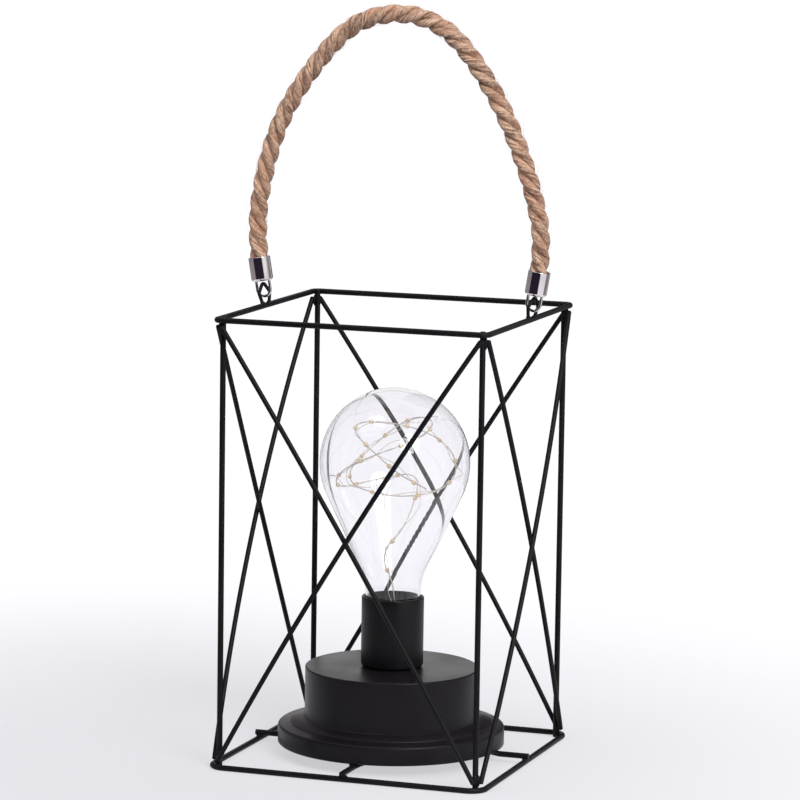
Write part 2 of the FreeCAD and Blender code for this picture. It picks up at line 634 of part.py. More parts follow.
def make_socket():
    """A plain cup on the drum, clamped through a hollow threaded nipple with a nut at each end."""
    low, top = SOCKET_LOW, SOCKET_TOP
    hole = "nipple_radius + nipple_clearance"
    turned("socket_cup", [
        (hole, low), ("socket_radius - socket_round", low), ("socket_radius", f"{low} + socket_round"),
        ("socket_radius", top), ("socket_radius - socket_wall", top),
        ("socket_radius - socket_wall", SOCKET_FLOOR_TOP), (hole, SOCKET_FLOOR_TOP)],
        {1: ("socket_round", 1)})
    nipple_low, nipple_top = f"{LOWER_NUT} - nipple_proud", f"{UPPER_NUT} + nut_thickness + nipple_proud"
    turned("socket_nipple", [("nipple_bore", nipple_low), ("nipple_radius", nipple_low),
                             ("nipple_radius", nipple_top), ("nipple_bore", nipple_top)])
    corner = "nut_flats / sqrt(3)"
    for name, level in (("lower", LOWER_NUT), ("upper", UPPER_NUT)):
        body = new_body(f"nipple_nut_{name}")
        sketch = new_sketch(body, "XY_Plane")
        outline(sketch, [(corner, "0"), (f"{corner} / 2", "nut_flats / 2"), (f"-{corner} / 2", "nut_flats / 2"),
                         (f"-{corner}", "0"), (f"-{corner} / 2", "-nut_flats / 2"),
                         (f"{corner} / 2", "-nut_flats / 2")])
        circle(sketch, "0", "0", hole)
        feature(body, "Pad", sketch, "nut_thickness")
        placed(body, z=level)


def make_bulb():
    """A pear of blown glass: a globe, a cone that leaves it at a tangent, and a hollow curve into the
    neck. The inner wall follows the outer one."""
    sine, cosine = "sin(pear_angle * 1deg)", "cos(pear_angle * 1deg)"
    cone_x, cone_z = f"(neck_radius + {BLEND_REACH} * {sine})", f"({CONE_FOOT} + {BLEND_REACH} * {cosine})"
    inner_globe, inner_blend = "(globe_radius - glass_wall)", "(neck_blend + glass_wall)"
    turned("glass_bulb", [
        (NECK_BORE, NECK_LOW), ("neck_radius", NECK_LOW), ("neck_radius", f"{CONE_FOOT} - {BLEND_REACH}"),
        (cone_x, cone_z), (TANGENT_RADIUS, TANGENT_LEVEL), ("0", f"{GLOBE_LEVEL} + globe_radius"),
        ("0", f"{GLOBE_LEVEL} + {inner_globe}"),
        (f"{inner_globe} * {cosine}", f"{GLOBE_LEVEL} - {inner_globe} * {sine}"),
        (f"{cone_x} - glass_wall * {cosine}", f"{cone_z} + glass_wall * {sine}"),
        (NECK_BORE, f"{CONE_FOOT} - {BLEND_REACH}")],
        {2: ("neck_blend", -1), 4: ("globe_radius", 1), 6: (inner_globe, -1), 8: (inner_blend, 1)})
    lip_low, seat = f"{NECK_LOW} - plug_lip - seat_gap", f"{NECK_LOW} - seat_gap"
    plug = turned("neck_plug", [
        ("0", lip_low), ("neck_radius", lip_low), ("neck_radius", seat), (f"{NECK_BORE} - plug_gap", seat),
        (f"{NECK_BORE} - plug_gap", f"{seat} + plug_height"), ("0", f"{seat} + plug_height")])
    holes = new_sketch(plug, "XY_Plane", lip_low)
    for side in ("", "-"):
        circle(holes, f"{side}lead_spread / 2", "0", "lead_wire / 2 + screw_bite")
    cut(plug, holes, "plug_height + plug_lip", Reversed=True)


def make_lead_wires():
    """Two leads from the circuit board up through the hollow nipple and the plug."""
    bottom = size(f"{BOARD_LOW} + board_thickness + 2 * seat_gap")
    top = size(f"{NECK_LOW} + plug_height + 2 * lead_wire")
    spread, middle = size("lead_spread / 2"), size(f"({BOARD_LOW} + {LOWER_NUT}) / 2")
    for name, side in (("left", -1), ("right", 1)):
        start = V(side * 2.5 * spread, -size("board_width / 4"), bottom)
        points = [start, V(start.x, start.y, middle - spread), V(side * spread, 0, middle + spread),
                  V(side * spread, 0, top)]
        path = bend_path(points, [size("3 * lead_wire")] * len(points))
        shaped(f"lead_wire_{name}", tube(path, size("lead_wire / 2"), sides=LEAD_SIDES))


def string_corners(reach):
    """Corners of the light string. It rises from the plug in a zigzag, then steps round the globe by a
    fixed turn that sways a little, while its height swings up and down and it draws in from the glass."""
    rise, aside, middle = size(f"{NECK_LOW} + plug_height"), size("lead_spread / 4"), size(GLOBE_LEVEL)
    corners = [V(aside, 0, rise), V(aside, 0, rise + 0.42 * reach),
               V(-0.18 * reach, -0.08 * reach, rise + 0.84 * reach), V(0.11 * reach, 0.17 * reach, rise + 1.2 * reach)]
    for step in range(STRING_STEPS):
        sway = 1.02 * step
        turn = 1.29 + 0.754 * step + 0.38 * math.sin(sway)
        height = 0.12 + 0.593 * math.sin(0.556 * step + 3.81)
        drawn = reach * 0.88 * (1 - 0.09 * (1 - math.cos(sway + 3.81)))
        level = drawn * math.sqrt(1 - height ** 2)
        corners.append(V(level * math.cos(turn), level * math.sin(turn), middle + drawn * height))
    return corners


def make_light_string():
    """The fine wire that wanders inside the globe in wide loops, with a bead of light on each run."""
    wire, reach = size("string_wire / 2"), size("globe_radius - glass_wall")
    corners = string_corners(reach)
    path = bend_path(corners, [size("string_bend")] * len(corners))
    print("light string length", round(path.Length), "least gap to itself", round(least_gap(path, wire), 2))
    shaped("light_string", tube(path, wire, sides=LEAD_SIDES))
    half, radius = size("bead_length / 2"), size("bead_width / 2")
    beads = []
    for start, stop in zip(corners[1:-1], corners[2:]):
        along, middle = (stop - start).normalize(), (start + stop) * 0.5
        rings = [many_sided(middle + along * place, along, radius * share, BEAD_SIDES)
                 for place, share in ((-half, 0.55), (-half * 0.3, 1), (half * 0.3, 1), (half, 0.55))]
        bore = Part.makeLoft([many_sided(middle + along * place, along, wire + size("weld_gap"), BEAD_SIDES)
                              for place in (-2 * half, 2 * half)], True, True)
        beads.append(Part.makeLoft(rings, True, True).cut(bore))
    shaped("light_beads", Part.makeCompound(beads))


# --- handle ----------------------------------------------------------------------------------------

def handle_axis(side):
    """Where the leaning line of one eye, loop and ferrule starts, and which way it points."""
    lean = math.radians(size("handle_lean"))
    return V(side * size("top_span") / 2, 0, size(RAIL_LEVEL)), V(side * math.sin(lean), 0, math.cos(lean))


def leaning(shape, side, distance, twist=0.0):
    """Moves a shape that stands on the origin to a distance along one leaning line."""
    foot, along = handle_axis(side)
    shape.rotate(V(), V(0, 0, 1), twist)
    shape.rotate(V(), V(0, 1, 0), side * size("handle_lean"))
    shape.translate(foot + along * distance)
    return shape


def tip_corner(half, widest, tip, bend):
    """Height of a kite's corner on its middle line, so that the arc in the corner just reaches a height."""
    way = 1 if tip > widest else -1
    centre = way * (tip - widest) - bend
    slope = math.atan2(centre, half) + math.asin(bend / math.hypot(half, centre))
    return widest + way * half * math.tan(slope)


def make_eyes_and_loops():
    """Each eye is a kite of thin wire welded on a rail. The loop under the ferrule passes through it and
    turns on its own lowest stretch."""
    eye_wire, half = size("eye_wire / 2"), size("eye_width / 2")
    foot, widest, bend = size("(ring_wire + eye_wire) / 2 + weld_gap"), size("eye_widest"), size("eye_bend")
    kite = [V(0, 0, tip_corner(half, widest, foot, bend)), V(0, half, widest),
            V(0, 0, tip_corner(half, widest, size("eye_height"), bend)), V(0, -half, widest)]
    drop, swing = size("ferrule_low - hinge_height - weld_gap"), size("loop_width / 2")
    shackle = [V(-swing, 0, 0), V(-swing, 0, -drop), V(swing, 0, -drop), V(swing, 0, 0)]
    for name, side in (("left", -1), ("right", 1)):
        eye = tube(bend_path(kite, [bend] * len(kite), closed=True), eye_wire)
        shaped(f"eye_{name}", leaning(eye, side, 0, size("eye_twist")))
        loop = tube(bend_path(shackle, [swing * 0.98] * 4), size("loop_wire / 2"))
        shaped(f"ferrule_loop_{name}", leaning(loop, side, size("ferrule_low - weld_gap")))


def make_ferrules():
    """Two drawn cups that hold the rope's ends, rounded below."""
    bore = "(rope_diameter / 2 + rope_clearance)"
    for name, side in (("left", -1), ("right", 1)):
        body = turned(f"ferrule_{name}", [
            ("0", "0"), (f"{bore} + ferrule_wall - ferrule_round", "0"),
            (f"{bore} + ferrule_wall", "ferrule_round"), (f"{bore} + ferrule_wall", "ferrule_length"),
            (bore, "ferrule_length"), (bore, "ferrule_floor"), ("0", "ferrule_floor")],
            {1: ("ferrule_round", 1)})
        foot, along = handle_axis(side)
        body.Placement = FreeCAD.Placement(foot + along * size("ferrule_low"),
                                           FreeCAD.Rotation(V(0, 1, 0), side * size("handle_lean")))


ROPE_ROUTE = [(-70.5, 281.0), (-62.5, 308.0), (-49.5, 330.0), (-31.5, 352.0), (-17.0, 360.7), (-1.0, 363.6),
              (15.0, 360.7), (29.5, 351.5), (46.5, 329.0), (59.0, 305.0), (68.5, 279.0)]


def make_rope():
    """The rope arch. It leaves each ferrule straight, and its route in X and Z is chosen by hand."""
    ends = []
    for side in (-1, 1):
        foot, along = handle_axis(side)
        start = size("ferrule_low + ferrule_floor + 4 * seat_gap")
        ends.append([foot + along * start, foot + along * (start + 2 * size("ferrule_length") - 2)])
    points = ends[0] + [V(x, 0, z) for x, z in ROPE_ROUTE] + ends[1][::-1]
    runs = [(stop - start).Length for start, stop in zip(points, points[1:])]
    radii = [0.0]
    for index in range(1, len(points) - 1):
        turn = (points[index] - points[index - 1]).getAngle(points[index + 1] - points[index])
        radii.append(0.45 * min(runs[index - 1], runs[index]) / math.tan(turn / 2))
    radii.append(0.0)
    path = bend_path(points, radii)
    print("rope length", round(path.Length, 1), "radii", [round(radius) for radius in radii[1:-1]])
    shaped("rope_handle", tube(path, size("rope_diameter / 2")))


# --- the whole lamp --------------------------------------------------------------------------------

make_ring("top_ring", "top_span", "top_bend", RAIL_LEVEL)
make_ring("bottom_ring", BOTTOM_SPAN, BOTTOM_BEND, "ring_wire / 2")
make_posts()
make_braces()
make_spokes()
make_base_shell()
make_bottom_cover()
make_spoke_screws()
make_battery_door()
make_battery_tray()
make_cells()
make_circuit_board()
make_switch()
make_socket()
make_bulb()
make_lead_wires()
make_light_string()
make_eyes_and_loops()
make_ferrules()
make_rope()
doc.recompute()

for item in doc.Objects:
    if "Invalid" in item.State or "Error" in item.State:
        raise ValueError(f"{item.Label} failed")
os.makedirs("parts", exist_ok=True)
for item in sub_parts:
    if item.Shape.isNull() or not item.Shape.isValid():
        raise ValueError(f"{item.Label} has no valid shape")
    item.Shape.exportStep(f"parts/{item.Label}.step")
print(len(sub_parts), "sub-parts written")
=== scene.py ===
import math

import bmesh
import bpy
import numpy as np
from mathutils import Matrix


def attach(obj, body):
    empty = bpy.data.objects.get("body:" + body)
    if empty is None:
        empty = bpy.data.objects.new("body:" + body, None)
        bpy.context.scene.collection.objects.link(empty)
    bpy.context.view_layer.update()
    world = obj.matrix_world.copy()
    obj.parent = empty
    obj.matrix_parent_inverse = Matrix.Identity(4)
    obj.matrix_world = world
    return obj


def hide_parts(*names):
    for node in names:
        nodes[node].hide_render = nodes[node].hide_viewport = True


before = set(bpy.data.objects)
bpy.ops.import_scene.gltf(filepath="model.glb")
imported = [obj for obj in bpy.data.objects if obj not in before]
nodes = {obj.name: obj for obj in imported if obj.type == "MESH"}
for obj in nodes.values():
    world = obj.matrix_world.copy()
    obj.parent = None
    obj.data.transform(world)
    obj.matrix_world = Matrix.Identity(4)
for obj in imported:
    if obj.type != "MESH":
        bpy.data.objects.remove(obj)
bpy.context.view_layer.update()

mm = 0.001


# small tools for shapes, in millimetres

def unit(vectors):
    # each vector over its own length
    vectors = np.asarray(vectors, float)
    return vectors / np.linalg.norm(vectors, axis=-1, keepdims=True)


def gridFaces(rows, columns, wrapRows=False, wrapColumns=False):
    # four-cornered faces between neighbouring rows and columns; a wrapped way joins its last to its first
    row, column = np.meshgrid(
        np.arange(rows - (not wrapRows)), np.arange(columns - (not wrapColumns)), indexing="ij"
    )
    below = (row + 1) % rows
    beside = (column + 1) % columns
    corners = [row * columns + column, row * columns + beside,
               below * columns + beside, below * columns + column]
    return np.stack(corners, axis=-1).reshape(-1, 4)


def repeatedFaces(faces, count, step):
    # the same faces for each of a number of equal pieces, whose points follow each other
    return (faces[None] + (np.arange(count) * step)[:, None, None]).reshape(-1, faces.shape[-1])


def makePiece(name, points, faces, finish, body="lamp", slot=None, replaced=(), places=None, crease=35):
    # a mesh from points in millimetres; places is the pattern's own pair of numbers at each point
    mesh = bpy.data.meshes.new(name)
    flat = np.asarray(points, float).reshape(-1, 3) * mm
    mesh.from_pydata(flat.tolist(), [], np.asarray(faces).tolist())
    if places is not None:
        layer = mesh.uv_layers.new(name="pattern")
        order = np.empty(len(mesh.loops), dtype=np.int32)
        mesh.loops.foreach_get("vertex_index", order)
        layer.data.foreach_set("uv", np.asarray(places, float).reshape(-1, 2)[order].ravel())
    work = bmesh.new()
    work.from_mesh(mesh)
    bmesh.ops.remove_doubles(work, verts=work.verts, dist=1e-6)
    bmesh.ops.dissolve_degenerate(work, edges=work.edges, dist=1e-7)
    bmesh.ops.recalc_face_normals(work, faces=work.faces)
    work.to_mesh(mesh)
    work.free()
    mesh.shade_smooth()
    mesh.set_sharp_from_angle(angle=math.radians(crease))
    mesh.materials.append(finish)
    made = bpy.data.objects.new(name, mesh)
    bpy.context.scene.collection.objects.link(made)
    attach(made, body)
    if replaced:
        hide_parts(*replaced)
    return made


def arc(centre, radius, start, end, count):
    # points on a circle between two angles in degrees
    turn = np.radians(np.linspace(start, end, count))
    return np.column_stack([centre[0] + radius * np.cos(turn), centre[1] + radius * np.sin(turn)])


def turnedPoints(profile, sides):
    # lathe: each profile point (radius, height) goes round the Z axis
    turn = np.linspace(0, 2 * np.pi, sides, endpoint=False)
    profile = np.asarray(profile, float)
    across = profile[:, None, 0] * np.cos(turn)
    deep = profile[:, None, 0] * np.sin(turn)
    height = np.repeat(profile[:, None, 1], sides, axis=1)
    return np.stack([across, deep, height], axis=-1)


def spun(name, profile, finish, sides=128, place=None, **words):
    # a lathe piece; place carries the finished points to where they belong
    points = turnedPoints(profile, sides)
    if place is not None:
        points = place(points)
    return makePiece(name, points, gridFaces(len(profile), sides, wrapColumns=True), finish, **words)


def runDirections(path, closed):
    # unit tangents from each point's neighbours
    if closed:
        return unit(np.roll(path, -1, axis=0) - np.roll(path, 1, axis=0))
    return unit(np.gradient(path, axis=0))


def wire(path, side, radius, sides=20, closed=False, softness=0.45):
    # round wire along a flat path: side is square to the path's plane; open ends get a soft edge
    path = np.asarray(path, float)
    radius = np.broadcast_to(np.asarray(radius, float), (len(path),)).copy()
    along = runDirections(path, closed)
    if not closed:
        soft = softness * radius[[0, -1]]
        bend = np.radians(np.linspace(90, 0, 5))[:-1]
        first = path[0] + along[0] * (soft[0] * (1 - np.sin(bend)))[:, None]
        last = path[-1] - along[-1] * (soft[1] * (1 - np.sin(bend)))[::-1, None]
        path = np.concatenate([path[:1], first, path[:1] + along[:1] * soft[0], path[1:-1],
                               path[-1:] - along[-1:] * soft[1], last, path[-1:]])
        start = radius[0] - soft[0] * (1 - np.cos(bend))
        end = (radius[-1] - soft[1] * (1 - np.cos(bend)))[::-1]
        along = np.concatenate([np.repeat(along[:1], 6, axis=0), along[1:-1], np.repeat(along[-1:], 6, axis=0)])
        radius = np.concatenate([[0.0], start, radius[:1], radius[1:-1], radius[-1:], end, [0.0]])
    side = np.broadcast_to(np.asarray(side, float), path.shape)
    second = unit(np.cross(along, side))
    turn = np.linspace(0, 2 * np.pi, sides, endpoint=False)[None, :, None]
    ring = side[:, None] * np.cos(turn) + second[:, None] * np.sin(turn)
    return path[:, None] + ring * radius[:, None, None]


def wirePiece(name, path, side, radius, finish, sides=20, closed=False, **words):
    points = wire(path, side, radius, sides, closed)
    faces = gridFaces(points.shape[0], sides, wrapRows=closed, wrapColumns=True)
    return makePiece(name, points, faces, finish, **words)


def bentLoop(corners, bend, count=9):
    # closed flat loop of rigid wire: each corner of the loop becomes an arc of the bend's radius
    corners = np.asarray(corners, float)
    parts = []
    for index in range(len(corners)):
        corner = corners[index]
        before = unit(corners[index - 1] - corner)
        after = unit(corners[(index + 1) % len(corners)] - corner)
        half = math.acos(float(np.clip(before @ after, -1, 1))) / 2
        middle = corner + unit(before + after) * bend / math.sin(half)
        start = corner + before * bend / math.tan(half) - middle
        end = corner + after * bend / math.tan(half) - middle
        sweep = np.linspace(0, math.pi - 2 * half, count)[:, None]
        square = unit(end - (end @ start) / (start @ start) * start) * bend
        parts.append(middle + start * np.cos(sweep) + square * np.sin(sweep))
    return np.concatenate(parts)


def turnedAboutZ(points, degrees):
    turn = math.radians(degrees)
    x, y, z = np.moveaxis(np.asarray(points, float), -1, 0)
    across = x * math.cos(turn) - y * math.sin(turn)
    deep = x * math.sin(turn) + y * math.cos(turn)
    return np.stack([across, deep, z], axis=-1)


# shader tools

def shade(red, green, blue):
    # a colour as a picture shows it, 0 to 255, in the shader's own linear numbers
    parts = [value / 255 for value in (red, green, blue)]
    return tuple(v / 12.92 if v <= 0.04045 else ((v + 0.055) / 1.055) ** 2.4 for v in parts) + (1.0,)


class Value:
    # a shader socket; sums on it add Math nodes
    def __init__(self, finish, socket):
        self.finish = finish
        self.socket = socket

    def __add__(self, other):
        return self.finish.sum("ADD", self, other)

    def __radd__(self, other):
        return self.finish.sum("ADD", other, self)

    def __mul__(self, other):
        return self.finish.sum("MULTIPLY", self, other)

    def __rmul__(self, other):
        return self.finish.sum("MULTIPLY", other, self)


class Finish:
    # a new material, or the world where one is given; its methods add nodes and give back values
    def __init__(self, name, world=None):
        self.owner = world or bpy.data.materials.new(name)
        self.owner.use_nodes = True
        self.tree = self.owner.node_tree
        self.tree.nodes.clear()
        self.place = self.node("TexCoord", output="Object")

    def node(self, kind, settings=None, inputs=None, output=0):
        made = self.tree.nodes.new("ShaderNode" + kind)
        for key, value in (settings or {}).items():
            setattr(made, key, value)
        for key, value in (inputs or {}).items():
            if isinstance(value, Value):
                self.tree.links.new(value.socket, made.inputs[key])
            else:
                made.inputs[key].default_value = value
        return Value(self, made.outputs[output]) if made.outputs else None

    def sum(self, operation, first, second, clamp=False):
        return self.node("Math", {"operation": operation, "use_clamp": clamp}, {0: first, 1: second})

    def stretched(self, place, factors):
        return self.node("VectorMath", {"operation": "MULTIPLY"}, {0: place, 1: factors})

    def noise(self, scale, detail=2.0, rough=0.5, place=None):
        return self.node("TexNoise", {}, {"Vector": place or self.place, "Scale": scale, "Detail": detail,
                                          "Roughness": rough})

    def steps(self, value, low, high, first=0.0, last=1.0):
        # a value between low and high spread out between first and last
        return self.node("MapRange", {"interpolation_type": "SMOOTHSTEP"},
                         {0: value, 1: low, 2: high, 3: first, 4: last})

    def blend(self, factor, first, second):
        return self.node("Mix", {"data_type": "RGBA"}, {0: factor, 6: first, 7: second}, output=2)

    def bump(self, height, strength, depth):
        return self.node("Bump", {}, {"Height": height, "Strength": strength, "Distance": depth})

    def shader(self, **inputs):
        # names are the Principled shader's own, without their spaces
        names = {"colour": "Base Color", "rough": "Roughness", "metal": "Metallic", "normal": "Normal",
                 "coat": "Coat Weight", "ior": "IOR", "clear": "Transmission Weight",
                 "glow": "Emission Color", "glowStrength": "Emission Strength", "sheen": "Sheen Weight",
                 "gloss": "Specular IOR Level"}
        return self.node("BsdfPrincipled", {}, {names[key]: value for key, value in inputs.items()})

    def seenPlainly(self):
        # 1 on the camera's own rays and on those through gloss and glass, and 0 on the light's
        kinds = ("Camera", "Glossy", "Transmission")
        rays = [self.node("LightPath", output="Is " + kind + " Ray") for kind in kinds]
        return self.sum("ADD", rays[0] + rays[1], rays[2], clamp=True)

    def done(self, shader, output="OutputMaterial"):
        self.node(output, {}, {"Surface": shader})
        return self.owner


def grained(name, dark, light, rough, grain=0.5, depth=0.00003, **more):
    # moulded or painted stock: cloudy colour, grain in millimetres, roughness that varies a little
    finish = Finish(name)
    fine = finish.noise(1000 / grain, 3.0)
    cloud = finish.noise(38, 2.0)
    colour = finish.blend(finish.steps(cloud, 0.3, 0.7), dark, light)
    return finish.done(finish.shader(
        colour=colour, rough=finish.steps(cloud + fine * 0.5, 0.45, 1.05, rough - 0.05, rough + 0.07),
        normal=finish.bump(fine, 0.35, depth), **more
    ))


def brushed(name, dark, light, rough, stretch=(1, 1, 12), **more):
    # bare metal: fine drawn lines along the stretched way and soft clouds in its gloss
    finish = Finish(name)
    lines = finish.noise(420, 3.0, 0.6, finish.stretched(finish.place, stretch))
    cloud = finish.noise(90, 2.0)
    colour = finish.blend(finish.steps(cloud, 0.3, 0.7), dark, light)
    return finish.done(finish.shader(
        colour=colour, metal=1.0, rough=finish.steps(lines + cloud, 0.7, 1.3, rough * 0.7, rough * 1.5),
        normal=finish.bump(lines, 0.12, 0.00002), **more
    ))


# camera, floor and light

view = {"azimuth": 19.0, "elevation": 8.0, "roll": 0.84, "distance": 2055.0, "focal": 4220.0,
        "aimAcross": 2.05, "aimHeight": 175.4, "frameWidth": 800.0}


def makeCamera():
    azimuth = math.radians(view["azimuth"])
    elevation = math.radians(view["elevation"])
    roll = math.radians(view["roll"])
    back = np.array([math.sin(azimuth) * math.cos(elevation), -math.cos(azimuth) * math.cos(elevation),
                     math.sin(elevation)])
    level = np.array([math.cos(azimuth), math.sin(azimuth), 0.0])
    upright = np.cross(back, level)
    right = level * math.cos(roll) + upright * math.sin(roll)
    up = upright * math.cos(roll) - level * math.sin(roll)
    aim = level * view["aimAcross"] + np.array([0, 0, view["aimHeight"]])
    place = (aim + back * view["distance"]) * mm
    data = bpy.data.cameras.new("camera")
    data.sensor_width = 36.0
    data.lens = view["focal"] / view["frameWidth"] * 36.0
    camera = bpy.data.objects.new("camera", data)
    matrix = np.eye(4)
    matrix[:3, 0], matrix[:3, 1], matrix[:3, 2], matrix[:3, 3] = right, up, back, place
    camera.matrix_world = Matrix(matrix.tolist())
    bpy.context.scene.collection.objects.link(camera)
    bpy.context.scene.camera = camera


light = {"worldLevel": 0.42, "nearPaper": (0.25, 0.247, 0.266, 1.0), "farPaper": (0.40, 0.40, 0.41, 1.0),
         "nearLift": 0.58, "farLift": 0.72, "paleMiddle": (-0.10, -0.06, 0), "paleFrom": 0.05, "paleTo": 0.62,
         "floorHalf": 9.0, "floorGap": 0.0001,
         "sunPower": 2.1, "sunSpread": 30.0, "sunFrom": (0.85, -0.80, 1.0),
         "topPower": 3.0, "topSize": 0.9, "topPlace": (-0.55, -0.55, 1.35)}

# upright cards round the lamp that only gloss sees: middle angle to the camera's right, spread, and tone
cards = {"blackCard": (-27, 96, (0.026, 0.019, 0.034, 1.0)), "leftCard": (-118, 96, (0.34, 0.30, 0.33, 1.0)),
         "rightCard": (103, 46, (0.30, 0.27, 0.28, 1.0)), "backCard": (152, 34, (0.06, 0.05, 0.06, 1.0))}
cardRing = {"distance": 0.45, "top": 0.9, "steps": 9}


def makeLamp(name, kind, place, **settings):
    # a light turned towards the object's middle
    data = bpy.data.lights.new(name, kind)
    for key, value in settings.items():
        setattr(data, key, value)
    away = unit(np.array(place) - np.array([0, 0, 0.12]))
    across = unit(np.cross([0, 1, 0.001], away))
    upward = np.cross(away, across)
    matrix = np.eye(4)
    matrix[:3, 0], matrix[:3, 1], matrix[:3, 2], matrix[:3, 3] = across, upward, away, place
    lamp = bpy.data.objects.new(name, data)
    lamp.matrix_world = Matrix(matrix.tolist())
    bpy.context.scene.collection.objects.link(lamp)


def makeCard(name, middle, spread, tone):
    # a standing card bent round the object: each point at the ring's distance,
    # turned from the card's middle by its share of the spread
    share = np.linspace(-spread / 2, spread / 2, cardRing["steps"])
    angle = math.radians(view["azimuth"] - 90 + middle) + np.radians(share)
    height = np.array([0.0, cardRing["top"]])
    points = np.stack([
        np.broadcast_to(cardRing["distance"] * np.cos(angle), (2, len(angle))),
        np.broadcast_to(cardRing["distance"] * np.sin(angle), (2, len(angle))),
        np.broadcast_to(height[:, None], (2, len(angle))),
    ], axis=-1)
    finish = Finish(name)
    mesh = bpy.data.meshes.new(name)
    mesh.from_pydata(points.reshape(-1, 3).tolist(), [], gridFaces(2, len(angle)).tolist())
    mesh.materials.append(finish.done(finish.node("Emission", {}, {"Color": tone, "Strength": 1.0})))
    card = bpy.data.objects.new(name, mesh)
    card.visible_camera = False
    card.visible_diffuse = False
    card.visible_shadow = False
    card.visible_transmission = False
    bpy.context.scene.collection.objects.link(card)


def makeStudio():
    scene = bpy.context.scene
    scene.view_settings.view_transform = "Standard"
    world = bpy.data.worlds.new("room")
    scene.world = world
    room = Finish("room", world)
    level = room.seenPlainly() * (1 - light["worldLevel"]) + light["worldLevel"]
    room.done(room.node("Background", {}, {"Color": (1.0, 1.0, 1.0, 1.0), "Strength": level}), "OutputWorld")

    # the floor is faintly violet near the lamp and white further away; its own lift keeps the shadow soft
    finish = Finish("floorPaper")
    far = finish.node("VectorMath", {"operation": "DISTANCE"}, {0: finish.place, 1: light["paleMiddle"]},
                      output="Value")
    fade = finish.steps(far, light["paleFrom"], light["paleTo"])
    colour = finish.blend(fade, light["nearPaper"], light["farPaper"])
    strength = finish.steps(far, light["paleFrom"], light["paleTo"], light["nearLift"], light["farLift"])
    strength = finish.seenPlainly() * strength
    lift = finish.node("Emission", {}, {"Color": (0.97, 0.96, 1.0, 1), "Strength": strength})
    both = finish.node("AddShader", {}, {0: finish.shader(colour=colour, rough=0.9, gloss=0.0), 1: lift})
    # the sheet is clear from its under side, so that the lamp's foot can be looked at through it
    under = finish.node("NewGeometry", output="Backfacing")
    both = finish.node("MixShader", {}, {0: under, 1: both, 2: finish.node("BsdfTransparent")})
    half = light["floorHalf"]
    mesh = bpy.data.meshes.new("floor")
    corners = [(-half, -half, 0), (half, -half, 0), (half, half, 0), (-half, half, 0)]
    mesh.from_pydata(corners, [], [(0, 1, 2, 3)])
    mesh.materials.append(finish.done(both))
    floor = bpy.data.objects.new("floor", mesh)
    floor.location = (0, 0, -light["floorGap"])
    scene.collection.objects.link(floor)
    makeLamp("sun", "SUN", light["sunFrom"], energy=light["sunPower"], angle=math.radians(light["sunSpread"]))
    makeLamp("topLamp", "AREA", light["topPlace"], shape="DISK", size=light["topSize"],
             energy=light["topPower"])
    for name, (middle, spread, tone) in cards.items():
        makeCard(name, middle, spread, tone)


makeCamera()
makeStudio()
print("stage: camera, floor and lights")


# rope handle

rope = {"diameter": 9.0, "length": 327.5, "lay": 28.0, "strandRadius": 2.18, "helixRadius": 2.40,
        "yarns": 6, "yarnDepth": 0.07, "yarnLay": 0.95, "mostSwell": 1.03, "fibreSlant": -27}

ropeRoute = np.array([
    (-70.278, 0, 232.011), (-73.909, 0, 253.709), (-70.5, 0, 281.0), (-62.5, 0, 308.0), (-49.5, 0, 330.0),
    (-31.5, 0, 352.0), (-17.0, 0, 360.7), (-1.0, 0, 363.6), (15.0, 0, 360.7), (29.5, 0, 351.5),
    (46.5, 0, 329.0), (59.0, 0, 305.0), (68.5, 0, 279.0), (73.909, 0, 253.709), (70.278, 0, 232.011),
])


def routeCurve(name, route, divisions):
    # a smooth NURBS line that has the route's points as its control points
    data = bpy.data.curves.new(name, "CURVE")
    data.dimensions = "3D"
    data.resolution_u = divisions
    spline = data.splines.new("NURBS")
    spline.points.add(len(route) - 1)
    spline.points.foreach_set("co", np.column_stack([route * mm, np.ones(len(route))]).ravel())
    spline.order_u = 3
    spline.use_endpoint_u = True
    return bpy.data.objects.new(name, data)


def lineOf(route, divisions):
    # the points that Blender gives for the unbevelled line, in millimetres
    made = routeCurve("line", route, divisions)
    mesh = bpy.data.meshes.new_from_object(made)
    points = np.empty(len(mesh.vertices) * 3)
    mesh.vertices.foreach_get("co", points)
    return points.reshape(-1, 3) / mm


def evenly(line, step):
    # the line's points taken at even distances along it, and those distances
    far = np.concatenate([[0], np.cumsum(np.linalg.norm(np.diff(line, axis=0), axis=1))])
    distance = np.linspace(0, far[-1], int(round(far[-1] / step)) + 1)
    return np.stack([np.interp(distance, far, line[:, axis]) for axis in range(3)], axis=1), distance


def juteFinish():
    finish = Finish("juteRope")
    own = finish.node("UVMap", {"uv_map": "pattern"})
    # fibres lie slanted across each strand, drawn out along their own run
    slanted = finish.node("Mapping", {"vector_type": "POINT"},
                          {"Vector": own, "Rotation": (0, 0, math.radians(rope["fibreSlant"]))})
    fibres = finish.noise(2.2, 4.0, 0.7, finish.stretched(slanted, (1.0, 0.06, 1.0)))
    strands = finish.noise(0.8, 2.0, 0.5, finish.stretched(slanted, (1.0, 0.10, 1.0)))
    patches = finish.noise(120, 3.0)
    flecks = finish.noise(620, 3.0, 0.7)
    mixed = fibres * 0.45 + strands * 0.33 + flecks * 0.22
    colour = finish.blend(finish.steps(mixed, 0.39, 0.60), shade(104, 62, 45), shade(255, 214, 184))
    colour = finish.blend(finish.steps(patches, 0.38, 0.68, 0.0, 0.45), colour, shade(200, 140, 106))
    return finish.done(finish.shader(
        colour=colour, rough=0.84, sheen=0.2,
        normal=finish.bump(fibres * 0.6 + strands * 0.8 + flecks * 0.3, 1.0, 0.0010)
    ))


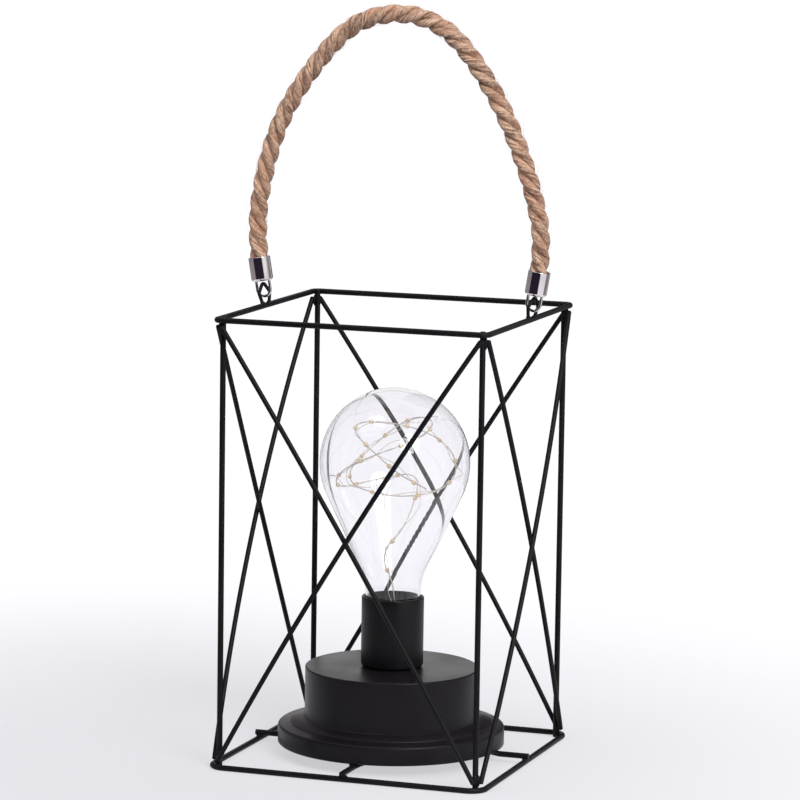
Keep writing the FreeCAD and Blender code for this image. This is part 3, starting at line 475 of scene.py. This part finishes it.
strayFibre = {"count": 420, "seed": 11, "margin": 14, "reach": (3, 11), "lift": (0.3, 2.6), "liftPower": 1.3,
              "curl": 1.4, "points": 7, "surface": 4.15, "lateLift": 1.7, "radius": 0.055, "taper": 0.75}


def makeStrayFibres(path, distance, along, jute):
    # each fibre lifts off the rope, runs along it and curls away; a thin three-sided thread
    f = strayFibre
    luck = np.random.default_rng(f["seed"])
    count = f["count"]
    start = luck.uniform(f["margin"], distance[-1] - f["margin"], count)
    around = luck.uniform(0, 2 * np.pi, count)
    extent = luck.uniform(*f["reach"], count) * luck.choice([-1, 1], count)
    lift = luck.uniform(*f["lift"], count) ** f["liftPower"]
    curl = luck.uniform(-f["curl"], f["curl"], count)
    share = np.linspace(0, 1, f["points"])
    where = np.clip(start[:, None] + extent[:, None] * share, 2, distance[-1] - 2)
    middle = np.stack([np.interp(where, distance, path[:, axis]) for axis in range(3)], axis=-1)
    tangent = np.stack([np.interp(where, distance, along[:, axis]) for axis in range(3)], axis=-1)
    square = np.cross(tangent, [0.0, 1.0, 0.0])
    angle = around[:, None] + curl[:, None] * share
    out = np.array([0.0, 1.0, 0.0]) * np.cos(angle)[..., None] + square * np.sin(angle)[..., None]
    height = f["surface"] + lift[:, None] * share ** f["lateLift"]
    threads = middle + out * height[..., None]
    run = unit(np.gradient(threads, axis=1))
    flat = unit(np.cross(run, out))
    rise = np.cross(flat, run)
    thick = f["radius"] * (1 - f["taper"] * share)[None, :, None, None]
    corner = np.radians([90, 210, 330])
    points = threads[:, :, None] + thick * (
        flat[:, :, None] * np.cos(corner)[:, None] + rise[:, :, None] * np.sin(corner)[:, None])
    faces = repeatedFaces(gridFaces(f["points"], 3, wrapColumns=True), count, 3 * f["points"])
    places = np.broadcast_to(np.stack([corner, corner * 0], axis=-1), (count, f["points"], 3, 2))
    return makePiece("ropeStrayFibres", points, faces, jute, body="handle", slot="rope_fibre",
                     places=places, crease=80)


def makeRope():
    line = lineOf(ropeRoute, 24)
    path, distance = evenly(line, 1.0)
    along = unit(np.gradient(path, axis=0))
    side = np.broadcast_to([0.0, 1.0, 0.0], path.shape)
    second = np.cross(along, side)
    rounds = 30
    turn = np.linspace(0, 2 * np.pi, rounds + 1)
    grids = []
    places = []
    for strand in range(3):
        # strand centre: a left-handed helix about the line; its skin swells over each yarn
        phase = -2 * np.pi * distance / rope["lay"] + 2 * np.pi * strand / 3
        outward = side * np.cos(phase)[:, None] + second * np.sin(phase)[:, None]
        centre = path + outward * rope["helixRadius"]
        run = unit(np.gradient(centre, axis=0))
        third = unit(np.cross(run, outward))
        outer = np.cross(third, run)
        twist = 2 * np.pi * distance / (rope["lay"] * rope["yarnLay"])
        yarn = np.abs(np.cos((turn[None, :] * rope["yarns"] + twist[:, None] * 2) / 2))
        swell = 1 + rope["yarnDepth"] * (yarn - 0.6)
        slow = 1 + 0.02 * np.sin(distance * 0.41 + strand * 2.1) + 0.012 * np.sin(distance * 1.13 + strand)
        reach = rope["strandRadius"] * np.minimum(swell * slow[:, None], rope["mostSwell"])
        grid = centre[:, None] + reach[:, :, None] * (
            outer[:, None] * np.cos(turn)[None, :, None] + third[:, None] * np.sin(turn)[None, :, None])
        caps = [centre[:1, None].repeat(rounds + 1, axis=1), grid, centre[-1:, None].repeat(rounds + 1, axis=1)]
        grids.append(np.concatenate(caps))
        around = np.broadcast_to(turn * rope["strandRadius"], (len(distance) + 2, rounds + 1))
        lengthwise = np.concatenate([distance[:1], distance, distance[-1:]])
        lengthwise = np.broadcast_to(lengthwise[:, None], around.shape)
        places.append(np.stack([around + 40 * strand, lengthwise], axis=-1))
    rows = grids[0].shape[0]
    faces = repeatedFaces(gridFaces(rows, rounds + 1), 3, rows * (rounds + 1))
    jute = juteFinish()
    made = makePiece("ropeStrands", np.concatenate(grids), faces, jute, body="handle", slot="rope_fibre",
                     replaced=["rope_handle"], places=np.concatenate(places), crease=80)

    hairs = makeStrayFibres(path, distance, along, jute)


makeRope()
print("stage: rope handle")


# light string and its beads

lightString = {"wireRadius": 0.3, "reach": 35.8, "globeMiddle": 144.5, "low": 69.0, "turns": 24,
               "length": 523.0, "beadRadius": 1.12, "beadLength": 2.6, "glow": 0.13,
               "mateRadius": 0.15, "matePinch": 0.5, "mateWander": 3.4, "mateWave": 0.083,
               "aside": (0.31, 0.22, 0.93), "swayStep": 1.02, "firstTurn": 1.29, "turnStep": 0.754, "turnSway": 0.38, "heightMiddle": 0.12,
               "heightSwing": 0.593, "heightStep": 0.556, "phase": 3.81, "drawnShare": 0.88, "drawnSway": 0.09}


def stringRoute():
    # up the neck, then a loose winding that keeps near the inside of the globe:
    # its direction turns round while its height goes up and down, and a slow sway draws it in
    w = lightString
    reach = w["reach"]
    low = w["low"]
    step = np.arange(w["turns"])
    sway = w["swayStep"] * step
    turn = w["firstTurn"] + w["turnStep"] * step + w["turnSway"] * np.sin(sway)
    height = w["heightMiddle"] + w["heightSwing"] * np.sin(w["heightStep"] * step + w["phase"])
    drawn = reach * w["drawnShare"] * (1 - w["drawnSway"] * (1 - np.cos(sway + w["phase"])))
    level = drawn * np.sqrt(1 - height ** 2)
    winding = np.column_stack([level * np.cos(turn), level * np.sin(turn),
                               w["globeMiddle"] + drawn * height])
    stem = np.array([(1.1, 0, low), (1.1, 0, low + 0.42 * reach),
                     (-0.18 * reach, -0.08 * reach, low + 0.84 * reach),
                     (0.11 * reach, 0.17 * reach, low + 1.2 * reach)])
    return np.concatenate([stem, winding])


def threadFinish():
    finish = Finish("stringWire")
    spots = finish.noise(300, 2.0)
    colour = finish.blend(finish.steps(spots, 0.35, 0.7), shade(204, 192, 180), shade(232, 224, 214))
    return finish.done(finish.shader(colour=colour, metal=0.35, rough=0.4,
                                     normal=finish.bump(spots, 0.2, 0.00005)))


def beadFinish():
    finish = Finish("warmBead")
    spots = finish.noise(700, 2.0)
    glow = finish.blend(spots, (1.0, 0.86, 0.62, 1), (1.0, 0.80, 0.52, 1))
    return finish.done(finish.shader(colour=shade(212, 192, 158), rough=0.3, glow=glow,
                                     glowStrength=lightString["glow"], coat=0.4,
                                     normal=finish.bump(spots, 0.15, 0.0001)))


def makeLightString():
    route = stringRoute()
    made = routeCurve("lightStringWire", route, 10)
    made.data.bevel_depth = lightString["wireRadius"] * mm
    made.data.bevel_resolution = 2
    made.data.use_fill_caps = True
    made.data.materials.append(threadFinish())
    bpy.context.scene.collection.objects.link(made)
    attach(made, "lamp")
    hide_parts("light_string")

    # beads: drops of resin round the wire at the middle of each run, longer along the wire than across
    first = route[1:-1]
    last = route[2:]
    middle = (first + last) / 2
    run = unit(last - first)
    side = unit(np.cross(run, lightString["aside"]))
    third = np.cross(run, side)
    bend = np.linspace(0, np.pi, 9)
    turn = np.linspace(0, 2 * np.pi, 12, endpoint=False)
    width = lightString["beadRadius"] * np.sin(bend) ** 0.8
    reach = -np.cos(bend) * lightString["beadLength"] / 2
    turn = turn[None, None, :, None]
    ring = side[:, None, None] * np.cos(turn) + third[:, None, None] * np.sin(turn)
    points = (middle[:, None, None] + run[:, None, None] * reach[None, :, None, None]
              + ring * width[None, :, None, None])
    faces = repeatedFaces(gridFaces(9, 12, wrapColumns=True), len(middle), 9 * 12)
    beads = makePiece("lightBeads", points, faces, beadFinish(), slot="bead_resin",
                      replaced=["light_beads"], crease=80)

    # the second conductor runs beside the first, nearest at the beads and wandering between them
    line, distance = evenly(lineOf(route, 10), 1.5)
    wave = np.sin(distance * lightString["mateWave"]) ** 2
    away = lightString["matePinch"] + lightString["mateWander"] * wave
    wander = 0.09 * distance + 1.3 * np.sin(distance * 0.05)
    across = unit(np.cross(unit(np.gradient(line, axis=0)), lightString["aside"]))
    level = np.cross(unit(np.gradient(line, axis=0)), across)
    beside = line + (across * np.cos(wander)[:, None] + level * np.sin(wander)[:, None]) * away[:, None]
    data = bpy.data.curves.new("lightStringMate", "CURVE")
    data.dimensions = "3D"
    data.bevel_depth = lightString["mateRadius"] * mm
    data.bevel_resolution = 1
    data.use_fill_caps = True
    spline = data.splines.new("POLY")
    spline.points.add(len(beside) - 1)
    spline.points.foreach_set("co", np.column_stack([beside * mm, np.ones(len(beside))]).ravel())
    data.materials.append(made.data.materials[0])
    mate = bpy.data.objects.new("lightStringMate", data)
    bpy.context.scene.collection.objects.link(mate)
    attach(mate, "lamp")


makeLightString()
print("stage: light string")


# wire cage

cage = {"post": 64.989, "postRadius": 1.4, "postTop": 219.8, "topLevel": 218.4, "topHalf": 68.0, "topBend": 3.4,
        "bottomLevel": 1.4, "bottomHalf": 69.25, "bottomBend": 7.667, "ringRadius": 1.4,
        "braceRadius": 1.2, "bracePlace": 67.639, "braceLow": 4.3, "braceHigh": 215.5,
        "bowInner": 1.6, "bowOuter": 4.4, "push": 2.6,
        "faces": {"front": (0, 1), "right": (90, 1), "back": (180, 1), "left": (270, -1)}}


def squareRing(half, bend, level):
    corners = [(-half, -half, level), (half, -half, level), (half, half, level), (-half, half, level)]
    return bentLoop(corners, bend)


def bracePath(side, bow):
    # a wire from a post's foot to the other post's head, bowed outwards to a circle's arc
    post = cage["post"]
    rise = cage["braceHigh"] - cage["braceLow"]
    along = unit([2 * side * post, 0, rise])
    square = np.array([-side * along[2], 0, side * along[0]])
    outward = unit(np.array([0, -bow, 0]) + square * cage["push"])
    sag = math.hypot(bow, cage["push"])
    chord = math.hypot(2 * post, rise)
    radius = (chord ** 2 / 4 + sag ** 2) / (2 * sag)
    middle = np.array([0, -cage["bracePlace"], cage["braceLow"] + rise / 2])
    centre = middle + outward * (sag - radius)
    limit = math.asin(chord / (2 * radius))
    turn = np.linspace(-limit, limit, 60)[:, None]
    return centre + radius * (np.sin(turn) * along + np.cos(turn) * outward), unit(np.cross(along, outward))


def makeCage():
    paint = grained("cagePaint", shade(13, 12, 14), shade(21, 19, 22), 0.48, 0.45, 0.00004, gloss=0.16)
    for name, half, bend, level in (("top_ring", cage["topHalf"], cage["topBend"], cage["topLevel"]),
                                    ("bottom_ring", cage["bottomHalf"], cage["bottomBend"], cage["bottomLevel"])):
        path = squareRing(half, bend, level)
        wirePiece(name + "_wire", path, (0, 0, 1), cage["ringRadius"], paint, closed=True,
                  slot="cage_paint", replaced=[name])
    for name, x, y in (("front_left", -1, -1), ("front_right", 1, -1), ("back_left", -1, 1), ("back_right", 1, 1)):
        height = np.linspace(0, cage["postTop"], 12)
        path = np.column_stack([height * 0 + x * cage["post"], height * 0 + y * cage["post"], height])
        wirePiece("post_" + name + "_wire", path, (1, 0, 0), cage["postRadius"], paint,
                  slot="cage_paint", replaced=["post_" + name])
    for face, (turn, lean) in cage["faces"].items():
        for place, side, bow in (("outer", lean, cage["bowOuter"]), ("inner", -lean, cage["bowInner"])):
            path, flat = bracePath(side, bow)
            name = "brace_" + face + "_" + place
            points = turnedAboutZ(wire(path, flat, cage["braceRadius"], 18), turn)
            makePiece(name + "_wire", points, gridFaces(points.shape[0], 18, wrapColumns=True), paint,
                      slot="cage_paint", replaced=[name])
    return paint


cagePaint = makeCage()

weld = {"braceAway": 66.4, "braceUp": 1.4, "braceSize": (2.9, 1.35, 1.0), "cornerAway": 65.98,
        "cornerSize": (2.1, 1.2, 0.95), "spokeSize": (2.3, 1.3, 0.75), "eyeSize": (1.5, 1.15, 0.8),
        "spokeUp": 1.45, "eyeOut": 0.25, "eyeAcross": 0.75, "eyeAlong": 2.4, "eyeUp": 1.35}


def makeWelds():
    # painted lumps of weld: balls stretched along three ways, whose skin rises and sinks in slow waves
    places = []
    post = cage["post"]
    for turn, _ in cage["faces"].values():
        for side in (-1, 1):
            for level in (cage["braceLow"] + weld["braceUp"], cage["braceHigh"] - weld["braceUp"]):
                foot = (side * post, -weld["braceAway"], level)
                places.append((foot, (0, 0, 1), (1, 0, 0), weld["braceSize"], turn))
        for level in (cage["bottomLevel"] + 0.1, cage["topLevel"] - 0.1):
            away = weld["cornerAway"]
            places.append(((away, away, level), (-0.7071, 0.7071, 0), (0, 0, 1), weld["cornerSize"], turn))
        foot = (cage["bottomHalf"], 0, cage["bottomLevel"] + weld["spokeUp"])
        places.append((foot, (0, 1, 0), (1, 0, 0), weld["spokeSize"], turn))
    for side in (-1, 1):
        for way in (-1, 1):
            foot = (side * (cage["topHalf"] + weld["eyeOut"]) + way * weld["eyeAcross"], way * weld["eyeAlong"],
                    cage["topLevel"] + weld["eyeUp"])
            places.append((foot, (0, 1, 0), (1, 0, 0), weld["eyeSize"], 0))
    bend = np.linspace(0, np.pi, 11)[:, None]
    turns = np.linspace(0, 2 * np.pi, 16, endpoint=False)[None, :]
    points = []
    for number, (centre, longWay, wideWay, size, turn) in enumerate(places):
        skin = (1 + 0.07 * np.sin(3 * turns + number) * np.sin(bend)
                + 0.06 * np.cos(4 * bend + 2 * number) * np.sin(bend))
        thirdWay = np.cross(longWay, wideWay)
        lump = (np.multiply.outer(np.cos(bend) * skin * size[0] * np.ones_like(turns), longWay)
                + np.multiply.outer(np.sin(bend) * np.cos(turns) * skin * size[1], wideWay)
                + np.multiply.outer(np.sin(bend) * np.sin(turns) * skin * size[2], thirdWay))
        points.append(turnedAboutZ(lump + np.array(centre), turn))
    faces = repeatedFaces(gridFaces(11, 16, wrapColumns=True), len(places), 11 * 16)
    makePiece("weldBeads", np.array(points), faces, cagePaint, slot="cage_paint", crease=80)


makeWelds()
print("stage: cage and its welds")


# spokes under the base, and their screws

spoke = {"radius": 1.4, "top": 5.65, "inner": 42.0, "hole": 46.0, "padHalf": 4.0, "padThick": 1.2,
         "padFlat": 3.2, "padEnd": 56.8, "outer": 71.05, "headRadius": 2.5, "headLow": 2.8, "headHigh": 4.4}


def makeSpokes():
    # a round wire beaten flat where its screw holds it: the section goes from round to a wide flat oval
    count = 60
    out = np.concatenate([np.full(1, spoke["inner"]), spoke["inner"] + (spoke["outer"] - spoke["inner"]) *
                          np.linspace(0.0005, 1, count) ** 1.15, np.full(1, spoke["outer"])])
    fromHole = np.clip((spoke["hole"] - out) / spoke["padHalf"], 0, 0.999)
    tip = np.sqrt(1 - fromHole ** 2)
    taper = spoke["padEnd"] - spoke["hole"] - spoke["padFlat"]
    merge = np.clip((out - spoke["hole"] - spoke["padFlat"]) / taper, 0, 1)
    merge = merge * merge * (3 - 2 * merge)
    width = (spoke["padHalf"] * (1 - merge) + spoke["radius"] * merge) * tip
    height = spoke["padThick"] / 2 * (1 - merge) + spoke["radius"] * merge
    width[0] = height[0] = width[-1] = height[-1] = 0.0
    level = np.where(height > 0, spoke["top"] - height, spoke["top"] - spoke["padThick"] / 2)
    level[-1] = spoke["top"] - spoke["radius"]
    power = 0.35 + 0.65 * merge
    turn = np.linspace(0, 2 * np.pi, 28, endpoint=False)
    cosine = np.sign(np.cos(turn)) * np.abs(np.cos(turn)) ** power[:, None]
    sine = np.sign(np.sin(turn)) * np.abs(np.sin(turn)) ** power[:, None]
    points = np.stack([np.broadcast_to(out[:, None], cosine.shape), width[:, None] * cosine,
                       level[:, None] + height[:, None] * sine], axis=-1)
    for name, turnDegrees in (("right", 0), ("back", 90), ("left", 180), ("front", 270)):
        makePiece("spoke_" + name + "_wire", turnedAboutZ(points, turnDegrees),
                  gridFaces(len(out), 28, wrapColumns=True), cagePaint, slot="cage_paint",
                  replaced=["spoke_" + name], crease=50)


makeSpokes()

screwHead = {"crown": 0.45, "slotHalf": 0.38, "slotReach": 1.35, "slotDepth": 0.7, "shank": 1.2, "tip": 12.4,
             "pitch": 0.8, "thread": 0.16}
screwSteel = brushed("screwSteel", shade(150, 148, 146), shade(186, 184, 182), 0.3, (1, 1, 1))


def within(value, limit):
    # 1 inside the limit and 0 outside, over a soft step
    return 1 / (1 + np.exp((np.abs(value) - limit) / 0.05))


def makeScrews():
    # a low crown sinks into two crossed slots; above it stands a shank, and its radius
    # rises and falls with the height less the turn's share of the pitch, as a thread
    radius = spoke["headRadius"]
    far = np.concatenate([np.linspace(0, 1.7, 22), np.linspace(1.85, radius, 7)])[:, None]
    turn = np.linspace(0, 2 * np.pi, 64, endpoint=False)[None, :]
    x, y = far * np.cos(turn), far * np.sin(turn)
    low = spoke["headLow"] + screwHead["crown"] * (far / radius) ** 2 + 0 * turn
    slot = np.maximum(within(x, screwHead["slotHalf"]) * within(y, screwHead["slotReach"]),
                      within(y, screwHead["slotHalf"]) * within(x, screwHead["slotReach"]))
    face = np.stack([x, y, low + screwHead["slotDepth"] * slot], axis=-1)
    up = np.linspace(spoke["headHigh"], screwHead["tip"] - 1.0, 60)[:, None]
    share = (up / screwHead["pitch"] - turn / (2 * np.pi)) % 1
    skin = screwHead["shank"] + screwHead["thread"] * (np.abs(share - 0.5) * 2 - 1)
    body = np.stack([skin * np.cos(turn), skin * np.sin(turn), up + 0 * turn], axis=-1)
    rim = np.stack([radius * np.cos(turn), radius * np.sin(turn), spoke["headHigh"] + 0 * turn], axis=-1)
    tip = np.stack([0 * turn, 0 * turn, screwHead["tip"] + 0 * turn], axis=-1)
    whole = np.concatenate([face, rim, body, tip])
    hole = spoke["hole"]
    places = np.array([(hole, 0, 0), (0, hole, 0), (-hole, 0, 0), (0, -hole, 0)])
    points = whole[None] + places[:, None, None]
    faces = repeatedFaces(gridFaces(whole.shape[0], 64, wrapColumns=True), 4, whole.shape[0] * 64)
    names = ["spoke_screw_right", "spoke_screw_back", "spoke_screw_left", "spoke_screw_front"]
    makePiece("spokeScrews", points, faces, screwSteel, slot="screw_steel", replaced=names, crease=45)


makeScrews()
print("stage: spokes and screws")


# base

base = {"rimInner": 53.9, "rimOuter": 55.7, "low": 5.7, "rimTop": 15.0, "edge": 1.4, "stepOuter": 49.5,
        "stepLow": 15.8, "stepHigh": 16.3, "drum": 42.6, "drumFoot": 18.3, "top": 43.5, "topEdge": 0.8,
        "hole": 5.05, "under": 41.7, "drumInner": 40.8}


def makeBase():
    b = base
    plastic = grained("basePlastic", shade(23, 20, 24), shade(29, 26, 30), 0.34, 0.35, 0.00003, gloss=0.16)
    profile = np.concatenate([
        [(b["rimInner"], 12.9), (b["rimInner"], b["low"] + 0.3), (b["rimInner"] + 0.3, b["low"]),
         (b["rimOuter"] - 0.4, b["low"]), (b["rimOuter"], b["low"] + 0.4)],
        arc((b["rimOuter"] - b["edge"], b["rimTop"] - b["edge"]), b["edge"], 0, 83, 7),
        [(b["stepOuter"] + 0.35, b["stepLow"] - 0.05), (b["stepOuter"] + 0.08, b["stepLow"] + 0.05),
         (b["stepOuter"], b["stepHigh"] - 0.12), (b["stepOuter"] - 0.2, b["stepHigh"] + 0.06),
         (b["drum"] + 1.2, b["drumFoot"] - 0.35), (b["drum"] + 0.35, b["drumFoot"] - 0.05),
         (b["drum"], b["drumFoot"] + 0.3), (b["drum"], 30.0)],
        arc((b["drum"] - b["topEdge"], b["top"] - b["topEdge"]), b["topEdge"], 0, 90, 7),
        [(20.0, b["top"]), (b["hole"] + 0.25, b["top"]), (b["hole"], b["top"] - 0.25), (b["hole"], b["under"]),
         (b["drumInner"], b["under"]), (b["drumInner"], 16.5), (b["rimInner"], 12.9)],
    ])
    spun("baseShell", profile, plastic, sides=192, slot="base_plastic", replaced=["base_shell"])


makeBase()


# socket

socket = {"outer": 15.3, "low": 43.55, "high": 78.55, "bore": 13.9, "floor": 45.55, "foot": 2.0, "hole": 5.05}


def makeSocket():
    s = socket
    plastic = grained("socketPlastic", shade(14, 13, 16), shade(19, 17, 20), 0.36, 0.3, 0.00002, gloss=0.2)
    rim = (s["outer"] - s["bore"]) / 2
    profile = np.concatenate([
        [(s["hole"], s["floor"]), (s["hole"], s["low"]), (s["outer"] - s["foot"] - 4, s["low"])],
        arc((s["outer"] - s["foot"], s["low"] + s["foot"]), s["foot"], 270, 360, 8),
        [(s["outer"], 60.0), (s["outer"], 72.0)],
        arc((s["outer"] - rim, s["high"] - rim), rim, 0, 180, 11),
        [(s["bore"], 60.0), (s["bore"], s["floor"] + 0.6), (s["bore"] - 0.6, s["floor"]),
         (s["hole"], s["floor"])],
    ])
    spun("socketCup", profile, plastic, sides=128, slot="socket_plastic", replaced=["socket_cup"])


makeSocket()


# glass bulb

bulb = {"globe": 36.8, "middle": 144.5, "cone": 25.0, "blend": 30.0, "neck": 13.6, "blendLow": 79.939,
        "foot": 62.0, "wall": 1.0}


def bulbSide(wall):
    # from the globe's top down the pear shape to the neck's foot, moved in by the wall
    g = bulb
    centre = (g["neck"] + g["blend"], g["blendLow"])
    return np.concatenate([
        arc((0, g["middle"]), g["globe"] - wall, 90, -g["cone"], 60),
        arc(centre, g["blend"] + wall, 180 - g["cone"], 180, 16),
        [(g["neck"] - wall, 74.0), (g["neck"] - wall, g["foot"] + 0.5)],
    ])


def glassFinish():
    finish = Finish("clearGlass")
    waves = finish.noise(26, 1.0)
    tone = finish.blend(waves, (0.972, 0.969, 0.979, 1), (0.932, 0.928, 0.942, 1))
    return finish.done(finish.shader(colour=tone, rough=0.0, clear=1.0, ior=1.42, gloss=0.2,
                                     normal=finish.bump(waves, 0.1, 0.0012)))


def makeBulb():
    outer = bulbSide(0.0)
    inner = bulbSide(bulb["wall"])[::-1]
    foot = arc((bulb["neck"] - bulb["wall"] / 2, bulb["foot"] + bulb["wall"] / 2), bulb["wall"] / 2, 0, -180, 7)
    outer[0, 0] = inner[-1, 0] = 0.0
    spun("glassBulb", np.concatenate([outer, foot, inner]), glassFinish(), sides=160, slot="bulb_glass",
         replaced=["glass_bulb"])


makeBulb()
print("stage: base, socket and bulb")


# handle fittings

handle = {"half": 68.0, "level": 218.4, "lean": 9.5, "eyeTwist": -18.0, "eyeRadius": 0.85, "eyeWaist": 6.2,
          "eyeHalf": 4.2, "eyeFoot": 1.0, "eyeFootHalf": 2.5, "eyeHigh": 10.6, "eyeBend": 1.6,
          "loopRadius": 0.7, "loopHalf": 3.4, "loopBend": 3.332, "loopLow": 4.4, "loopStraight": 9.8,
          "loopHigh": 11.95, "ferruleLow": 12.0, "ferruleHigh": 24.0, "ferruleRadius": 5.4, "ferruleBore": 4.6,
          "ferruleFloor": 1.6, "ferruleEdge": 1.6}


def leaningPlace(side):
    # carries points from the fitting's upright frame to its leaning place on the top ring
    lean = math.radians(side * handle["lean"])

    def place(points):
        x, y, z = np.moveaxis(np.asarray(points, float), -1, 0)
        return np.stack([x * math.cos(lean) + z * math.sin(lean) + side * handle["half"], y,
                         -x * math.sin(lean) + z * math.cos(lean) + handle["level"]], axis=-1)
    return place


def tipCorner():
    # height of the eye's sharp corner whose rounded arc reaches just to its top
    h = handle
    centre = h["eyeHigh"] - h["eyeWaist"] - h["eyeBend"]
    slope = math.atan2(centre, h["eyeHalf"]) + math.asin(h["eyeBend"] / math.hypot(centre, h["eyeHalf"]))
    return h["eyeWaist"] + h["eyeHalf"] * math.tan(slope)


def hairpin(corners, bend):
    # open wire across Y and Z: straight ends and an arc of the bend's radius at each inner corner
    corners = np.column_stack([np.zeros(len(corners)), np.asarray(corners, float)])
    arcs = [bentLoop(corners[index - 1:index + 2], bend, 12)[12:24] for index in range(1, len(corners) - 1)]
    ends = [corners[:1] + (arcs[0][:1] - corners[:1]) * share for share in (0, 0.3, 0.6)]
    last = [corners[-1:] + (arcs[-1][-1:] - corners[-1:]) * share for share in (0.6, 0.3, 0)]
    return np.concatenate(ends + arcs + last)


def makeFittings():
    h = handle
    chrome = brushed("ferrulePlating", shade(206, 202, 203), shade(224, 221, 221), 0.07, (1, 1, 0.12))
    bright = brushed("loopSteel", shade(196, 193, 194), shade(216, 213, 213), 0.16, (1, 1, 1))
    for name, side in (("left", -1), ("right", 1)):
        place = leaningPlace(side)
        path = hairpin([(h["eyeFootHalf"], h["eyeFoot"]), (h["eyeHalf"], h["eyeWaist"]), (0, tipCorner()),
                        (-h["eyeHalf"], h["eyeWaist"]), (-h["eyeFootHalf"], h["eyeFoot"])], h["eyeBend"])
        points = turnedAboutZ(wire(path, (1, 0, 0), h["eyeRadius"], 16), h["eyeTwist"])
        makePiece("eye_" + name + "_wire", place(points), gridFaces(points.shape[0], 16, wrapColumns=True),
                  cagePaint, slot="cage_paint", replaced=["eye_" + name])

        inward = h["loopHalf"] - h["loopBend"]
        low = h["loopLow"] + h["loopBend"]
        flat = np.concatenate([[(-h["loopHalf"], h["loopHigh"]), (-h["loopHalf"], h["loopStraight"])],
                               arc((-inward, low), h["loopBend"], 180, 270, 14),
                               arc((inward, low), h["loopBend"], 270, 360, 14),
                               [(h["loopHalf"], h["loopStraight"]), (h["loopHalf"], h["loopHigh"])]])
        path = np.column_stack([flat[:, 0], flat[:, 0] * 0, flat[:, 1]])
        points = wire(path, (0, 1, 0), h["loopRadius"], 16)
        makePiece("ferrule_loop_" + name + "_wire", place(points),
                  gridFaces(points.shape[0], 16, wrapColumns=True), bright, body="handle", slot="loop_steel", replaced=["ferrule_loop_" + name])

        rim = (h["ferruleRadius"] - h["ferruleBore"]) / 2
        profile = np.concatenate([
            [(0.0, h["ferruleLow"]), (1.5, h["ferruleLow"])],
            arc((h["ferruleRadius"] - h["ferruleEdge"], h["ferruleLow"] + h["ferruleEdge"]),
                h["ferruleEdge"], 270, 360, 9),
            [(h["ferruleRadius"], 18.0), (h["ferruleRadius"], 22.6)],
            arc((h["ferruleRadius"] - rim, h["ferruleHigh"] - rim), rim, 0, 180, 9),
            [(h["ferruleBore"], 18.0), (h["ferruleBore"], h["ferruleLow"] + h["ferruleFloor"]),
             (0.0, h["ferruleLow"] + h["ferruleFloor"])],
        ])
        spun("ferrule_" + name + "_shell", profile, chrome, sides=72, place=place, body="handle",
             slot="ferrule_plating", replaced=["ferrule_" + name])


makeFittings()
print("stage: handle fittings")


# finishes of the solids that stay as they are

def dress():
    finishes = {
        grained("coverPlastic", shade(40, 38, 39), shade(48, 45, 46), 0.5, 0.4): ["bottom_cover", "battery_door"],
        grained("trayPlastic", shade(44, 43, 45), shade(52, 50, 52), 0.55, 0.4): ["battery_tray"],
        grained("sliderPlastic", shade(120, 118, 118), shade(138, 136, 134), 0.45, 0.3): ["switch_slider"],
        grained("chipPlastic", shade(24, 24, 26), shade(32, 32, 34), 0.5, 0.2): ["driver_chip"],
        grained("boardResin", shade(28, 84, 58), shade(36, 98, 68), 0.4, 0.5): ["circuit_board"],
        grained("plugPlastic", shade(210, 208, 202), shade(224, 222, 216), 0.5, 0.4): ["neck_plug"],
        grained("leadSleeve", shade(150, 40, 34), shade(168, 50, 40), 0.5, 0.3): ["lead_wire_left"],
        grained("leadSleeveDark", shade(30, 30, 32), shade(40, 40, 42), 0.5, 0.3): ["lead_wire_right"],
        grained("cellJacket", shade(96, 104, 112), shade(112, 120, 128), 0.3, 0.4):
            ["battery_cell_left", "battery_cell_middle", "battery_cell_right"],
        brushed("contactSheet", shade(186, 182, 172), shade(204, 200, 190), 0.3, (1, 12, 1)):
            [name for name in nodes if name.startswith("contact_")],
        brushed("switchSteel", shade(168, 166, 164), shade(188, 186, 184), 0.35, (1, 12, 1)): ["switch_housing"],
        brushed("nippleSteel", shade(188, 176, 150), shade(204, 192, 166), 0.3, (1, 1, 1)):
            ["socket_nipple", "nipple_nut_lower", "nipple_nut_upper"],
    }
    for finish, names in finishes.items():
        for name in names:
            for place in nodes[name].material_slots:
                place.material = finish


dress()
print("stage: finishes of the remaining solids")
